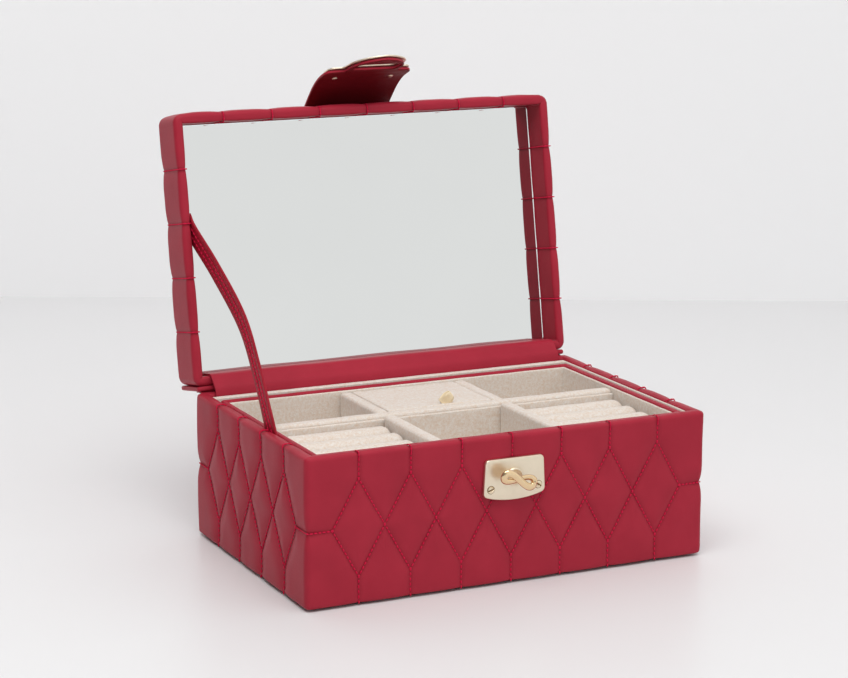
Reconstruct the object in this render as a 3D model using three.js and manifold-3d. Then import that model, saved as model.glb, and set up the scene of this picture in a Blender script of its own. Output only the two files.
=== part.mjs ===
// A quilted leather jewellery case standing open: a felt-footed body with a fabric liner, a lift-out
// tray with ring rolls, a hinged lid with a mirror, and a leather clasp flap that closes over a turn lock.
// Millimetres, +Z up, front towards -Y, origin at the middle of the base pad's underside.
import * as THREE from 'three';
import { mergeVertices } from 'three/addons/utils/BufferGeometryUtils.js';
import Module from 'manifold-3d';

const wasm = await Module();
wasm.setup();

// ---- driving dimensions -------------------------------------------------------------------------
const CASE_W = 254;            // outside width of body and lid
const CASE_D = 166.5;          // outside depth of the body
const RIM_Z = 88.2;            // top of the body's rim above the table
const OPEN_ANGLE = 100.5;      // degrees the lid stands open at rest

// body shell
const PAD_T = 1.5;             // felt base pad
const PAD_INSET = 4;
const BODY_CORNER_R = 3;
const COVER_T = 2.2;           // padded leather outside the boards
const CAP_T = 1.0;             // leather over the rim
const TURN_IN_T = 0.9;         // leather turned in behind the rim
const TURN_IN_DEPTH = 16;
const BODY_BOARD_T = 3.0;
const GLUE_GAP = 0.2;          // between glued layers of the body
const FLOOR_T = 3.2;

// fabric liner and what carries the tray
const LINER_T = 1.6;
const LINER_BACK_T = 4.5;
const LINER_DROP = 1.5;        // liner top below the rim
const GUSSET_SLOT = 2.0;       // slot behind the back liner for the gusset's hem
const FLOOR_LINING_T = 1.5;
const REST_T = 6;              // thickness of the rests under the tray's ends

// lift-out tray
const TRAY_CLEARANCE = 0.6;    // round the tray, at the sides and the front
const TRAY_BACK_GAP = 3.4;     // finger gap behind the tray
const TRAY_DROP = 1.8;         // tray rim below the case rim
const TRAY_H = 34;
const TRAY_WALL_T = 3.5;
const TRAY_FLOOR_T = 2.5;
const TRAY_LINING_T = 1.5;
const TRAY_LINING_DROP = 1.3;  // lining top below the tray rim
const TRAY_LIFT_GAP = 0.2;     // tray floor above its rests
const DIVIDER_T = 7.8;
const DIVIDER_DROP = 2.2;      // divider tops below the tray rim
const CROSS_DIVIDER_X = 38.4;  // centre of each cross divider
const BACK_ROW_DEPTH = 53.3;   // inside depth of the back row
const ROW_LINING_T = 1.6;      // lining on the front row's side of the long divider
const ROW_LINING_DROP = 2;     // its top below the divider's
const FIT = 0.2;               // between tray parts that touch

// ring rolls, in the two outer compartments of the front row
const ROLLS = 4;
const ROLL_GAP = 0.5;
const ROLL_DROP = 4;           // roll tops below the divider tops
const ROLL_END_GAP = 1.6;
const ROLL_END_R = 3;

// hinged lid of the middle back compartment
const SMALL_LID_T = 2.6;
const SMALL_LID_GAP = 0.4;
const TAB_W = 9;
const TAB_H = 6.6;
const TAB_T = 3;
const TAB_SETBACK = 3.2;        // from the small lid's front edge
const TAB_X = 4.5;

// lid
const LID_GAP = 0.4;           // closed lid above the body's rim
const LID_CORNER_R = 5;
const LID_BOARD_T = 1.8;
const LID_TOP_BOARD_T = 2.6;
const LAYER_GAP = 0.3;         // between layers of the turned lid
const MIRROR_RECESS = 18;      // mirror face below the lid's rim
const MIRROR_T = 3;
const MIRROR_GAP = 0.5;        // round the mirror's edge
const BACKING_T = 2;
const LID_HOLLOW = 2.8;        // between the mirror's backing and the lid's top board
const SPINE_T = 2.9;           // leather panel on the back of the lid
const SPINE_INSET = 1.5;
const HINGE_RAISE = 0.2;       // lid axis above the body's rim

// leather between body and lid
const GUSSET_T = 1.2;
const GUSSET_INSET = 1.6;      // gusset ends inside the liner's ends
const FOLD_T = 0.8;            // outside fold along the hinge
const FOLD_LEG = 9;
const STRAP_W = 14;
const STRAP_T = 1.6;
const STRAP_BOW = 8;           // how far the slack strap bows into the case
const STRAP_BODY_Y = -19;      // strap's lower end, from the middle of the case
const STRAP_LID_REACH = 103;   // strap's upper end, from the hinge axis along the lid
const STRAP_LID_DEPTH = 9;     // and below the lid's rim
const STRAP_TUCK = 7;          // lower end below the rim

// lock
const PLATE_TOP_W = 37;
const PLATE_BOTTOM_W = 39.2;
const PLATE_TOP_DROP = 13.2;   // plate's top edge below the rim
const PLATE_SIDE_H = 21.5;
const PLATE_BULGE = 3;         // how far the lower edge bows down
const PLATE_T = 2.4;
const PLATE_CORNER_R = 3.5;
const PLATE_STANDOFF = 0.3;
const KEY_DROP = 24.4;         // turn key's axis below the rim
const KEY_L = 24;
const KEY_W = 7.6;
const KEY_T = 3.2;
const KEY_REACH = 6.6;         // key's underside off its collar, clear of the closed flap
const KEY_NECK_R = 2.4;
const KEY_TILT = 17;           // degrees the key stands off level at rest
const COLLAR_R = 5.4;
const COLLAR_T = 0.9;
const SCREW_X = 15.1;
const SCREW_DROP = 30.5;
const SCREW_R = 2.1;
const SCREW_HEAD = 0.8;

// clasp flap
const FLAP_W = 58;
const FLAP_T = 2.0;
const FLAP_SHOULDER = -9;      // height of the flap's shoulders against the lid's rim
const TONGUE_W = 40;
const TONGUE_TIP = -35;        // height of the tongue's tip against the lid's rim
const HASP_T = 1.0;
const HASP_EDGE = 1.2;         // how far the hasp plate shows past the tongue
const HASP_TOP = 1;
const SLOT_L = 26;
const SLOT_W = 10;
const SLOT_HEIGHT = -19.3;     // slot's centre against the lid's rim, flap at rest
const SLOT_CLEARANCE = 1;      // leather's slot round the plate's
const RIVET_X = 19;
const RIVET_HEIGHT = 4;
const RIVET_R = 1.8;
const RIVET_T = 0.9;
const ROOT_L = 24;             // flap's root, sewn along the lid's top
const ROOT_T = 1.6;

// ---- derived places -----------------------------------------------------------------------------
const HALF_W = CASE_W / 2;
const HALF_D = CASE_D / 2;
const BOARD_OUT = COVER_T + GLUE_GAP;                       // board's outer face from the outside
const BODY_WALL = BOARD_OUT + BODY_BOARD_T + GLUE_GAP + TURN_IN_T;
const INSIDE_X = HALF_W - BODY_WALL;
const INSIDE_Y = HALF_D - BODY_WALL;
const SHELL_Z = PAD_T + GLUE_GAP;                           // underside of the body's boards
const FLOOR_Z = SHELL_Z + FLOOR_T;
const LINER_TOP = RIM_Z - LINER_DROP;
const LINER_X = INSIDE_X - GLUE_GAP - LINER_T;              // liner's inner faces
const LINER_FRONT = -(INSIDE_Y - GLUE_GAP - LINER_T);
const LINER_BACK = INSIDE_Y - GUSSET_SLOT - LINER_BACK_T;

const TRAY_X = LINER_X - TRAY_CLEARANCE;                    // tray's outer faces
const TRAY_FRONT = LINER_FRONT + TRAY_CLEARANCE;
const TRAY_BACK = LINER_BACK - TRAY_BACK_GAP;
const TRAY_TOP = RIM_Z - TRAY_DROP;
const TRAY_Z = TRAY_TOP - TRAY_H;
const TRAY_INNER = TRAY_WALL_T + TRAY_LINING_T;             // outside face to lining face
const ROW_X = TRAY_X - TRAY_INNER;
const ROW_FRONT = TRAY_FRONT + TRAY_INNER;
const ROW_BACK = TRAY_BACK - TRAY_INNER;
const TRAY_BED = TRAY_Z + TRAY_FLOOR_T;                     // upper face of the tray floor
const DIVIDER_TOP = TRAY_TOP - DIVIDER_DROP;
const LONG_BACK = ROW_BACK - BACK_ROW_DEPTH;                // long divider's back face
const LONG_FRONT = LONG_BACK - DIVIDER_T;
const FRONT_ROW_BACK = LONG_FRONT - FIT - ROW_LINING_T;     // back face of the front row's space

const AXIS_Y = HALF_D;                                      // lid hinge axis
const AXIS_Z = RIM_Z + HINGE_RAISE;
const LID_Z = RIM_Z + LID_GAP;                              // lid's rim plane when closed
const LID_BACK = HALF_D - SPINE_T - LAYER_GAP;              // back of the lid shell when closed
const LID_FRONT = -HALF_D;
const LID_D = LID_BACK - LID_FRONT;
const LID_MID_Y = (LID_BACK + LID_FRONT) / 2;
const LID_BOARD_OUT = COVER_T + LAYER_GAP;
const LID_H = MIRROR_RECESS + MIRROR_T + LAYER_GAP + BACKING_T + LID_HOLLOW + LID_TOP_BOARD_T + LID_BOARD_OUT;
const LID_WALL = LID_BOARD_OUT + LID_BOARD_T + LAYER_GAP + TURN_IN_T;

const radians = (degrees) => degrees * Math.PI / 180;

// ---- materials ----------------------------------------------------------------------------------
const finish = (color, roughness, metalness = 0) => ({ color, roughness, metalness });
const LEATHER = finish(0xa02e3a, 0.45);
const DARK_LEATHER = finish(0x7c1c28, 0.5);
const BOARD = finish(0x8a7256, 0.9);
const FABRIC = finish(0xddd5c8, 0.95);
const FELT = finish(0x4a332c, 1.0);
const GOLD = finish(0xd9c59a, 0.25, 1.0);
const GLASS = finish(0xd9dcdb, 0.05, 0.9);
const RIBBON = finish(0xcdb083, 0.7);

// ---- shape helpers ------------------------------------------------------------------------------
function mesh(name, geometry, look, parent) {
  const made = new THREE.Mesh(geometry, new THREE.MeshStandardMaterial(look));
  made.name = name;
  parent.add(made);
  return made;
}

// A block between two corners.
function block(name, low, high, look, parent) {
  const size = high.map((value, k) => value - low[k]);
  const made = mesh(name, new THREE.BoxGeometry(...size), look, parent);
  made.position.set(...low.map((value, k) => value + size[k] / 2));
  return made;
}

// A rectangle with rounded corners, centred at (x, y).
function roundedOutline(width, depth, radius, x = 0, y = 0) {
  const w = width / 2 - radius;
  const d = depth / 2 - radius;
  const outline = new THREE.Shape();
  outline.absarc(x + w, y - d, radius, -Math.PI / 2, 0);
  outline.absarc(x + w, y + d, radius, 0, Math.PI / 2);
  outline.absarc(x - w, y + d, radius, Math.PI / 2, Math.PI);
  outline.absarc(x - w, y - d, radius, Math.PI, Math.PI * 1.5);
  return outline;
}

// An outline in X and Y, raised from z = low to z = high.
function raised(outline, low, high, curveSegments = 4) {
  const geometry = new THREE.ExtrudeGeometry(outline, { depth: high - low, bevelEnabled: false, curveSegments });
  return geometry.translate(0, 0, low);
}

// An outline in X and Z, run through Y from front to back.
function runThrough(outline, front, back, curveSegments = 6) {
  const geometry = raised(outline, -back, -front, curveSegments);
  return geometry.rotateX(Math.PI / 2);
}

// An outline in Y and Z, run along X from left to right.
function runAlong(outline, left, right, curveSegments = 6) {
  const geometry = raised(outline, left, right, curveSegments);
  return geometry.applyMatrix4(new THREE.Matrix4().set(0, 0, 1, 0, 1, 0, 0, 0, 0, 1, 0, 0, 0, 0, 0, 1));
}

function solid(geometry) {
  const bare = geometry.clone();
  bare.deleteAttribute('normal');
  bare.deleteAttribute('uv');
  const merged = mergeVertices(bare, 1e-4);
  return new wasm.Manifold(new wasm.Mesh({
    numProp: 3,
    vertProperties: new Float32Array(merged.attributes.position.array),
    triVerts: new Uint32Array(merged.index.array),
  }));
}

function fromSolid(manifold) {
  const made = manifold.getMesh();
  const geometry = new THREE.BufferGeometry();
  geometry.setAttribute('position', new THREE.BufferAttribute(made.vertProperties, 3));
  geometry.setIndex(new THREE.BufferAttribute(made.triVerts, 1));
  return geometry;
}

// The first geometry with all the others cut away.
function cut(first, ...others) {
  return fromSolid(others.reduce((left, other) => left.subtract(solid(other)), solid(first)));
}

// A closed band of even thickness round a centre line given as THREE.Vector2 points.
function bandOutline(line, thickness) {
  const offset = (side) => line.map((point, k) => {
    const before = line[Math.max(k - 1, 0)];
    const after = line[Math.min(k + 1, line.length - 1)];
    const along = after.clone().sub(before).normalize();
    return new THREE.Vector2(point.x - along.y * side, point.y + along.x * side);
  });
  return new THREE.Shape([...offset(thickness / 2), ...offset(-thickness / 2).reverse()]);
}

const caseGroup = new THREE.Group();

// ---- body ---------------------------------------------------------------------------------------
function buildBody(parent) {
  mesh('base_pad', raised(roundedOutline(CASE_W - 2 * PAD_INSET, CASE_D - 2 * PAD_INSET, 4), 0, PAD_T), FELT, parent);

  const outer = raised(roundedOutline(CASE_W, CASE_D, BODY_CORNER_R), PAD_T, RIM_Z);
  const boards = raised(roundedOutline(CASE_W - 2 * COVER_T, CASE_D - 2 * COVER_T, GLUE_GAP), 0, RIM_Z - CAP_T);
  const turnIn = raised(roundedOutline(2 * (INSIDE_X + TURN_IN_T), 2 * (INSIDE_Y + TURN_IN_T), 1),
    RIM_Z - TURN_IN_DEPTH, RIM_Z);
  const inside = raised(roundedOutline(2 * INSIDE_X, 2 * INSIDE_Y, GLUE_GAP), -1, RIM_Z + 1);
  const boardSpace = solid(boards).subtract(solid(turnIn));
  mesh('body_cover', fromSolid(solid(outer).subtract(boardSpace).subtract(solid(inside))), LEATHER, parent);

  const boardX = HALF_W - BOARD_OUT;
  const boardY = HALF_D - BOARD_OUT;
  const top = RIM_Z - CAP_T - GLUE_GAP;
  const sideY = boardY - BODY_BOARD_T;
  block('body_board_front', [-boardX, -boardY, SHELL_Z], [boardX, -sideY, top], BOARD, parent);
  block('body_board_back', [-boardX, sideY, SHELL_Z], [boardX, boardY, top], BOARD, parent);
  block('body_board_left', [-boardX, -sideY, SHELL_Z], [-boardX + BODY_BOARD_T, sideY, top], BOARD, parent);
  block('body_board_right', [boardX - BODY_BOARD_T, -sideY, SHELL_Z], [boardX, sideY, top], BOARD, parent);
  const floorX = boardX - BODY_BOARD_T;
  block('body_floor', [-floorX, -sideY, SHELL_Z], [floorX, sideY, FLOOR_Z], BOARD, parent);
}

function buildLiner(parent) {
  const outerX = INSIDE_X - GLUE_GAP;
  const outerFront = -(INSIDE_Y - GLUE_GAP);
  const outerBack = INSIDE_Y - GUSSET_SLOT;
  const low = FLOOR_Z + GLUE_GAP;
  block('liner_front', [-outerX, outerFront, low], [outerX, LINER_FRONT, LINER_TOP], FABRIC, parent);
  block('liner_back', [-outerX, LINER_BACK, low], [outerX, outerBack, LINER_TOP], FABRIC, parent);
  block('liner_right', [LINER_X, LINER_FRONT, low], [outerX, LINER_BACK, LINER_TOP], FABRIC, parent);

  // the left side is notched at the top for the end of the stay strap
  const notchFront = STRAP_BODY_Y - STRAP_W / 2 - 4;
  const notchBack = STRAP_BODY_Y + STRAP_W / 2 + 8;
  const notchZ = RIM_Z - STRAP_TUCK - STRAP_W / 2;
  const side = new THREE.Shape([
    [LINER_FRONT, low], [LINER_BACK, low], [LINER_BACK, LINER_TOP],
    [notchBack, LINER_TOP], [notchBack, notchZ], [notchFront, notchZ], [notchFront, LINER_TOP],
    [LINER_FRONT, LINER_TOP],
  ].map((point) => new THREE.Vector2(...point)));
  mesh('liner_left', runAlong(side, -outerX, -LINER_X), FABRIC, parent);

  block('floor_lining', [-LINER_X + REST_T, LINER_FRONT, low],
    [LINER_X - REST_T, LINER_BACK, low + FLOOR_LINING_T], FABRIC, parent);
  const restTop = TRAY_Z - TRAY_LIFT_GAP;
  block('tray_rest_left', [-LINER_X, LINER_FRONT, low], [-LINER_X + REST_T, LINER_BACK, restTop], FABRIC, parent);
  block('tray_rest_right', [LINER_X - REST_T, LINER_FRONT, low], [LINER_X, LINER_BACK, restTop], FABRIC, parent);
}

function buildLock(parent) {
  const top = RIM_Z - PLATE_TOP_DROP;
  const corner = top - PLATE_SIDE_H;
  const r = PLATE_CORNER_R;
  const topX = PLATE_TOP_W / 2;
  const lowX = PLATE_BOTTOM_W / 2;
  const outline = new THREE.Shape();
  outline.moveTo(-topX + r, top);
  outline.lineTo(topX - r, top);
  outline.quadraticCurveTo(topX, top, topX, top - r);
  outline.lineTo(lowX, corner + r);
  outline.quadraticCurveTo(lowX, corner, lowX - r, corner - PLATE_BULGE / 4);
  outline.quadraticCurveTo(0, corner - 2 * PLATE_BULGE + PLATE_BULGE / 4, -lowX + r, corner - PLATE_BULGE / 4);
  outline.quadraticCurveTo(-lowX, corner, -lowX, corner + r);
  outline.lineTo(-topX, top - r);
  outline.quadraticCurveTo(-topX, top, -topX + r, top);
  const back = -HALF_D - PLATE_STANDOFF;
  const face = back - PLATE_T;
  mesh('lock_plate', runThrough(outline, face, back), GOLD, parent);

  const disc = (radius, thickness) => new THREE.CylinderGeometry(radius, radius, thickness, 24);
  for (const [name, side] of [['lock_screw_left', -1], ['lock_screw_right', 1]]) {
    mesh(name, disc(SCREW_R, SCREW_HEAD), GOLD, parent)
      .position.set(side * SCREW_X, face - SCREW_HEAD / 2, RIM_Z - SCREW_DROP);
  }
  mesh('lock_collar', disc(COLLAR_R, COLLAR_T), GOLD, parent)
    .position.set(0, face - COLLAR_T / 2, RIM_Z - KEY_DROP);

  // the key: a rounded bar across a round neck, turning about Y
  const key = new THREE.Group();
  key.position.set(0, face - COLLAR_T, RIM_Z - KEY_DROP);
  key.rotation.y = radians(KEY_TILT);
  const bar = runThrough(roundedOutline(KEY_L, KEY_W, KEY_W / 2 - 0.01), -KEY_REACH - KEY_T, -KEY_REACH, 8);
  const neck = new THREE.CylinderGeometry(KEY_NECK_R, KEY_NECK_R, KEY_REACH + KEY_T / 2 - LAYER_GAP, 20);
  neck.translate(0, -(KEY_REACH + KEY_T / 2 + LAYER_GAP) / 2, 0);
  mesh('turn_key', fromSolid(solid(bar).add(solid(neck))), GOLD, key);
  parent.add(key);
}

// ---- tray ---------------------------------------------------------------------------------------
function buildTray(parent) {
  block('tray_floor', [-TRAY_X, TRAY_FRONT, TRAY_Z], [TRAY_X, TRAY_BACK, TRAY_BED], FABRIC, parent);
  const low = TRAY_BED;
  const endFront = TRAY_FRONT + TRAY_WALL_T;
  const endBack = TRAY_BACK - TRAY_WALL_T;
  const endX = TRAY_X - TRAY_WALL_T;
  block('tray_wall_front', [-TRAY_X, TRAY_FRONT, low], [TRAY_X, endFront, TRAY_TOP], LEATHER, parent);
  block('tray_wall_back', [-TRAY_X, endBack, low], [TRAY_X, TRAY_BACK, TRAY_TOP], LEATHER, parent);
  block('tray_wall_left', [-TRAY_X, endFront, low], [-endX, endBack, TRAY_TOP], LEATHER, parent);
  block('tray_wall_right', [endX, endFront, low], [TRAY_X, endBack, TRAY_TOP], LEATHER, parent);

  const midY = (ROW_FRONT + ROW_BACK) / 2;
  const liningTop = TRAY_TOP - TRAY_LINING_DROP;
  const liningOuter = raised(roundedOutline(2 * endX, endBack - endFront, 0.5, 0, midY), low, liningTop, 1);
  const liningInner = raised(roundedOutline(2 * ROW_X, ROW_BACK - ROW_FRONT, 0.5, 0, midY), low - 1, liningTop + 1, 1);
  mesh('tray_lining', cut(liningOuter, liningInner), FABRIC, parent);

  block('divider_long', [-ROW_X, LONG_FRONT, low], [ROW_X, LONG_BACK, DIVIDER_TOP], FABRIC, parent);
  block('front_row_lining', [-ROW_X, FRONT_ROW_BACK, low],
    [ROW_X, LONG_FRONT - FIT, DIVIDER_TOP - ROW_LINING_DROP], FABRIC, parent);
  for (const [word, side] of [['left', -1], ['right', 1]]) {
    const near = side * CROSS_DIVIDER_X - DIVIDER_T / 2;
    const far = side * CROSS_DIVIDER_X + DIVIDER_T / 2;
    block(`divider_back_${word}`, [near, LONG_BACK + FIT, low], [far, ROW_BACK - FIT, DIVIDER_TOP], FABRIC, parent);
    block(`divider_front_${word}`, [near, ROW_FRONT + FIT, low],
      [far, FRONT_ROW_BACK - FIT, DIVIDER_TOP], FABRIC, parent);
    buildRolls(word, side, parent);
  }
  buildSmallLid(parent);
}

// Padded rolls side by side, with their axes along X and softened ends.
function buildRolls(word, side, parent) {
  const from = CROSS_DIVIDER_X + DIVIDER_T / 2 + ROLL_END_GAP;
  const to = ROW_X - ROLL_END_GAP;
  const pitch = (FRONT_ROW_BACK - ROW_FRONT) / ROLLS;
  const radius = (pitch - ROLL_GAP) / 2;
  const half = (to - from) / 2;
  const profile = [new THREE.Vector2(0, -half), new THREE.Vector2(radius - ROLL_END_R, -half)];
  for (const turn of [30, 60, 90]) {
    const angle = radians(turn);
    profile.push(new THREE.Vector2(radius - ROLL_END_R + ROLL_END_R * Math.sin(angle),
      -half + ROLL_END_R * (1 - Math.cos(angle))));
  }
  profile.push(...profile.map((point) => new THREE.Vector2(point.x, -point.y)).reverse());
  for (let k = 0; k < ROLLS; k++) {
    const roll = mesh(`ring_roll_${word}_${k + 1}`, new THREE.LatheGeometry(profile, 20), FABRIC, parent);
    roll.rotation.z = Math.PI / 2;
    roll.position.set(side * (from + to) / 2, ROW_FRONT + pitch * (k + 0.5), DIVIDER_TOP - ROLL_DROP - radius);
  }
}

function buildSmallLid(parent) {
  const halfX = CROSS_DIVIDER_X - DIVIDER_T / 2 - SMALL_LID_GAP;
  const front = LONG_BACK + SMALL_LID_GAP;
  block('small_lid', [-halfX, front, DIVIDER_TOP - SMALL_LID_T],
    [halfX, ROW_BACK - SMALL_LID_GAP, DIVIDER_TOP], FABRIC, parent);
  const tab = new THREE.Shape();
  tab.moveTo(-TAB_T / 2, 0);
  tab.lineTo(TAB_T / 2, 0);
  tab.lineTo(TAB_T / 2, TAB_H - TAB_T / 2);
  tab.absarc(0, TAB_H - TAB_T / 2, TAB_T / 2, 0, Math.PI);
  mesh('pull_tab', runAlong(tab, -TAB_W / 2, TAB_W / 2), RIBBON, parent)
    .position.set(TAB_X, front + TAB_SETBACK, DIVIDER_TOP + FIT);
}

// ---- lid, drawn closed and turned about the hinge axis --------------------------------------------
function buildLid(parent) {
  const place = (width, depth, radius) => roundedOutline(width, depth, radius, 0, LID_MID_Y);
  const top = LID_Z + LID_H;
  const outer = raised(place(CASE_W, LID_D, LID_CORNER_R), LID_Z, top);
  const boards = raised(place(CASE_W - 2 * COVER_T, LID_D - 2 * COVER_T, LID_CORNER_R - COVER_T),
    LID_Z + CAP_T, top - COVER_T);
  const turnInEnd = LID_Z + MIRROR_RECESS - LAYER_GAP;
  const recessW = CASE_W - 2 * LID_WALL;
  const recessD = LID_D - 2 * LID_WALL;
  const turnIn = raised(place(recessW + 2 * TURN_IN_T, recessD + 2 * TURN_IN_T, 1), LID_Z, turnInEnd);
  const recess = raised(place(recessW, recessD, 1), LID_Z - 1, turnInEnd + 1);
  const boardSpace = solid(boards).subtract(solid(turnIn));
  mesh('lid_cover', fromSolid(solid(outer).subtract(boardSpace).subtract(solid(recess))), LEATHER, parent);

  const low = LID_Z + CAP_T + LAYER_GAP;
  const topBoardLow = top - COVER_T - LAYER_GAP - LID_TOP_BOARD_T;
  const wallTop = topBoardLow - LAYER_GAP;
  const inset = LID_BOARD_OUT;
  const boardX = HALF_W - inset;
  const boardFront = LID_FRONT + inset;
  const boardBack = LID_BACK - inset;
  const endFront = boardFront + LID_BOARD_T + LAYER_GAP;
  const endBack = boardBack - LID_BOARD_T - LAYER_GAP;
  const cornerX = HALF_W - LID_CORNER_R;
  block('lid_board_front', [-cornerX, boardFront, low], [cornerX, boardFront + LID_BOARD_T, wallTop], BOARD, parent);
  block('lid_board_back', [-cornerX, boardBack - LID_BOARD_T, low], [cornerX, boardBack, wallTop], BOARD, parent);
  block('lid_board_left', [-boardX, endFront, low], [-boardX + LID_BOARD_T, endBack, wallTop], BOARD, parent);
  block('lid_board_right', [boardX - LID_BOARD_T, endFront, low], [boardX, endBack, wallTop], BOARD, parent);
  mesh('lid_board_top', raised(place(CASE_W - 2 * inset, LID_D - 2 * inset, LID_CORNER_R - inset),
    topBoardLow, topBoardLow + LID_TOP_BOARD_T), BOARD, parent);

  const glassW = recessW - 2 * MIRROR_GAP;
  const glassD = recessD - 2 * MIRROR_GAP;
  const glassLow = LID_Z + MIRROR_RECESS;
  mesh('mirror', raised(place(glassW, glassD, 2), glassLow, glassLow + MIRROR_T), GLASS, parent);
  const backingLow = glassLow + MIRROR_T + LAYER_GAP;
  mesh('mirror_backing', raised(place(glassW, glassD, 2), backingLow, backingLow + BACKING_T), BOARD, parent);

  block('spine_panel', [-HALF_W + SPINE_INSET, HALF_D - SPINE_T, LID_Z],
    [HALF_W - SPINE_INSET, HALF_D, top - SPINE_INSET], LEATHER, parent);
  block('flap_root', [-FLAP_W / 2, LID_FRONT + LID_CORNER_R, top + LAYER_GAP],
    [FLAP_W / 2, LID_FRONT + LID_CORNER_R + ROOT_L, top + LAYER_GAP + ROOT_T], LEATHER, parent);
}

// The flap's side view, as distance in front of the lid and height above the lid's rim.
function flapCurve() {
  const crest = LID_H + LAYER_GAP + FLAP_T / 2 + 0.3;
  return new THREE.SplineCurve([
    [-LID_CORNER_R + LAYER_GAP + 0.5, crest], [0.6, crest - 0.3], [3.4, LID_H - 1.7],
    [8.3, LID_H - 7.6], [14.3, LID_H - 15.4], [19, LID_H - 24.8],
    [22, LID_H - 35.3], [24, LID_H - 46.3], [26.3, LID_H - 56.3], [30.4, TONGUE_TIP - 4],
  ].map((point) => new THREE.Vector2(...point)));
}

function flapBand(curve, thickness, off) {
  const line = curve.getSpacedPoints(22).map((point, k, all) => {
    const along = all[Math.min(k + 1, 22)].clone().sub(all[Math.max(k - 1, 0)]).normalize();
    // outward is up the lid and away from it
    return new THREE.Vector2(point.x - along.y * off, point.y + along.x * off);
  });
  const inPlace = line.map((point) => new THREE.Vector2(LID_FRONT - point.x, LID_Z + point.y));
  return bandOutline(inPlace, thickness);
}

// The tongue's rounded end, from one side to the other, in X and Z.
function tongueEnd(outline, halfWidth, shoulder, tip) {
  const wide = shoulder - 4;
  outline.lineTo(halfWidth, LID_Z + wide);
  outline.bezierCurveTo(halfWidth - 4, LID_Z + wide - 9, halfWidth * 0.5, LID_Z + tip, 0, LID_Z + tip);
  outline.bezierCurveTo(-halfWidth * 0.5, LID_Z + tip, -halfWidth + 4, LID_Z + wide - 9, -halfWidth, LID_Z + wide);
}

function flapOutline() {
  const outline = new THREE.Shape();
  const half = FLAP_W / 2;
  const r = 6;
  const shoulder = LID_Z + FLAP_SHOULDER;
  outline.moveTo(half, LID_Z + LID_H + 10);
  outline.lineTo(half, shoulder + r);
  outline.quadraticCurveTo(half, shoulder, half - r, shoulder);
  tongueEnd(outline, TONGUE_W / 2, FLAP_SHOULDER, TONGUE_TIP);
  outline.lineTo(-half + r, shoulder);
  outline.quadraticCurveTo(-half, shoulder, -half, shoulder + r);
  outline.lineTo(-half, LID_Z + LID_H + 10);
  return outline;
}

function haspOutline() {
  const outline = new THREE.Shape();
  const half = FLAP_W / 2 - 1.5;
  const r = 3;
  const top = LID_Z + HASP_TOP;
  const shoulder = LID_Z + FLAP_SHOULDER - HASP_EDGE;
  outline.moveTo(half - r, top);
  outline.quadraticCurveTo(half, top, half, top - r);
  outline.lineTo(half, shoulder + r);
  outline.quadraticCurveTo(half, shoulder, half - r, shoulder);
  tongueEnd(outline, TONGUE_W / 2 + HASP_EDGE, FLAP_SHOULDER - HASP_EDGE, TONGUE_TIP - HASP_EDGE);
  outline.lineTo(-half + r, shoulder);
  outline.quadraticCurveTo(-half, shoulder, -half, shoulder + r);
  outline.lineTo(-half, top - r);
  outline.quadraticCurveTo(-half, top, -half + r, top);
  return outline;
}

function buildFlap(parent) {
  const curve = flapCurve();
  const slotZ = LID_Z + SLOT_HEIGHT;
  const front = LID_FRONT - 40;
  const back = LID_FRONT + LID_CORNER_R - LAYER_GAP;
  const slotBox = (grow) => runThrough(
    roundedOutline(SLOT_L + 2 * grow, SLOT_W + 2 * grow, SLOT_W / 2 + grow - 0.01, 0, slotZ), front, back);
  const piece = (thickness, off, outline, slot) => fromSolid(
    solid(runAlong(flapBand(curve, thickness, off), -FLAP_W, FLAP_W))
      .intersect(solid(runThrough(outline, front, back))).subtract(solid(slot)));
  mesh('flap_leather', piece(FLAP_T, 0, flapOutline(), slotBox(SLOT_CLEARANCE)), LEATHER, parent);
  const haspOff = FLAP_T / 2 + LAYER_GAP + HASP_T / 2;
  mesh('hasp_plate', piece(HASP_T, haspOff, haspOutline(), slotBox(0)), GOLD, parent);

  // rivet heads on the lining side, square to the flap
  const at = nearHeight(curve, RIVET_HEIGHT);
  const off = FLAP_T / 2 + LAYER_GAP + RIVET_T / 2;
  for (const [name, side] of [['flap_rivet_left', -1], ['flap_rivet_right', 1]]) {
    const rivet = mesh(name, new THREE.CylinderGeometry(RIVET_R, RIVET_R, RIVET_T, 16), GOLD, parent);
    rivet.position.set(side * RIVET_X, LID_FRONT - at.point.x - at.along.y * off, LID_Z + at.point.y - at.along.x * off);
    rivet.rotation.x = Math.atan2(at.along.x, at.along.y);
  }
}

// The point of the curve at a height, with its direction.
function nearHeight(curve, height) {
  const u = Array.from({ length: 201 }, (_, k) => k / 200)
    .reduce((best, t) => (Math.abs(curve.getPoint(t).y - height) < Math.abs(curve.getPoint(best).y - height) ? t : best));
  return { point: curve.getPoint(u), along: curve.getTangent(u) };
}

// ---- leather between body and lid ------------------------------------------------------------------
// A place on the open lid: reach from the hinge axis along the lid, depth from its rim, as Y and Z.
function onOpenLid(reach, depth) {
  const angle = radians(OPEN_ANGLE);
  const rise = LID_Z - AXIS_Z + depth;
  return new THREE.Vector2(
    AXIS_Y - reach * Math.cos(angle) + rise * Math.sin(angle),
    AXIS_Z + reach * Math.sin(angle) + rise * Math.cos(angle));
}

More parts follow.
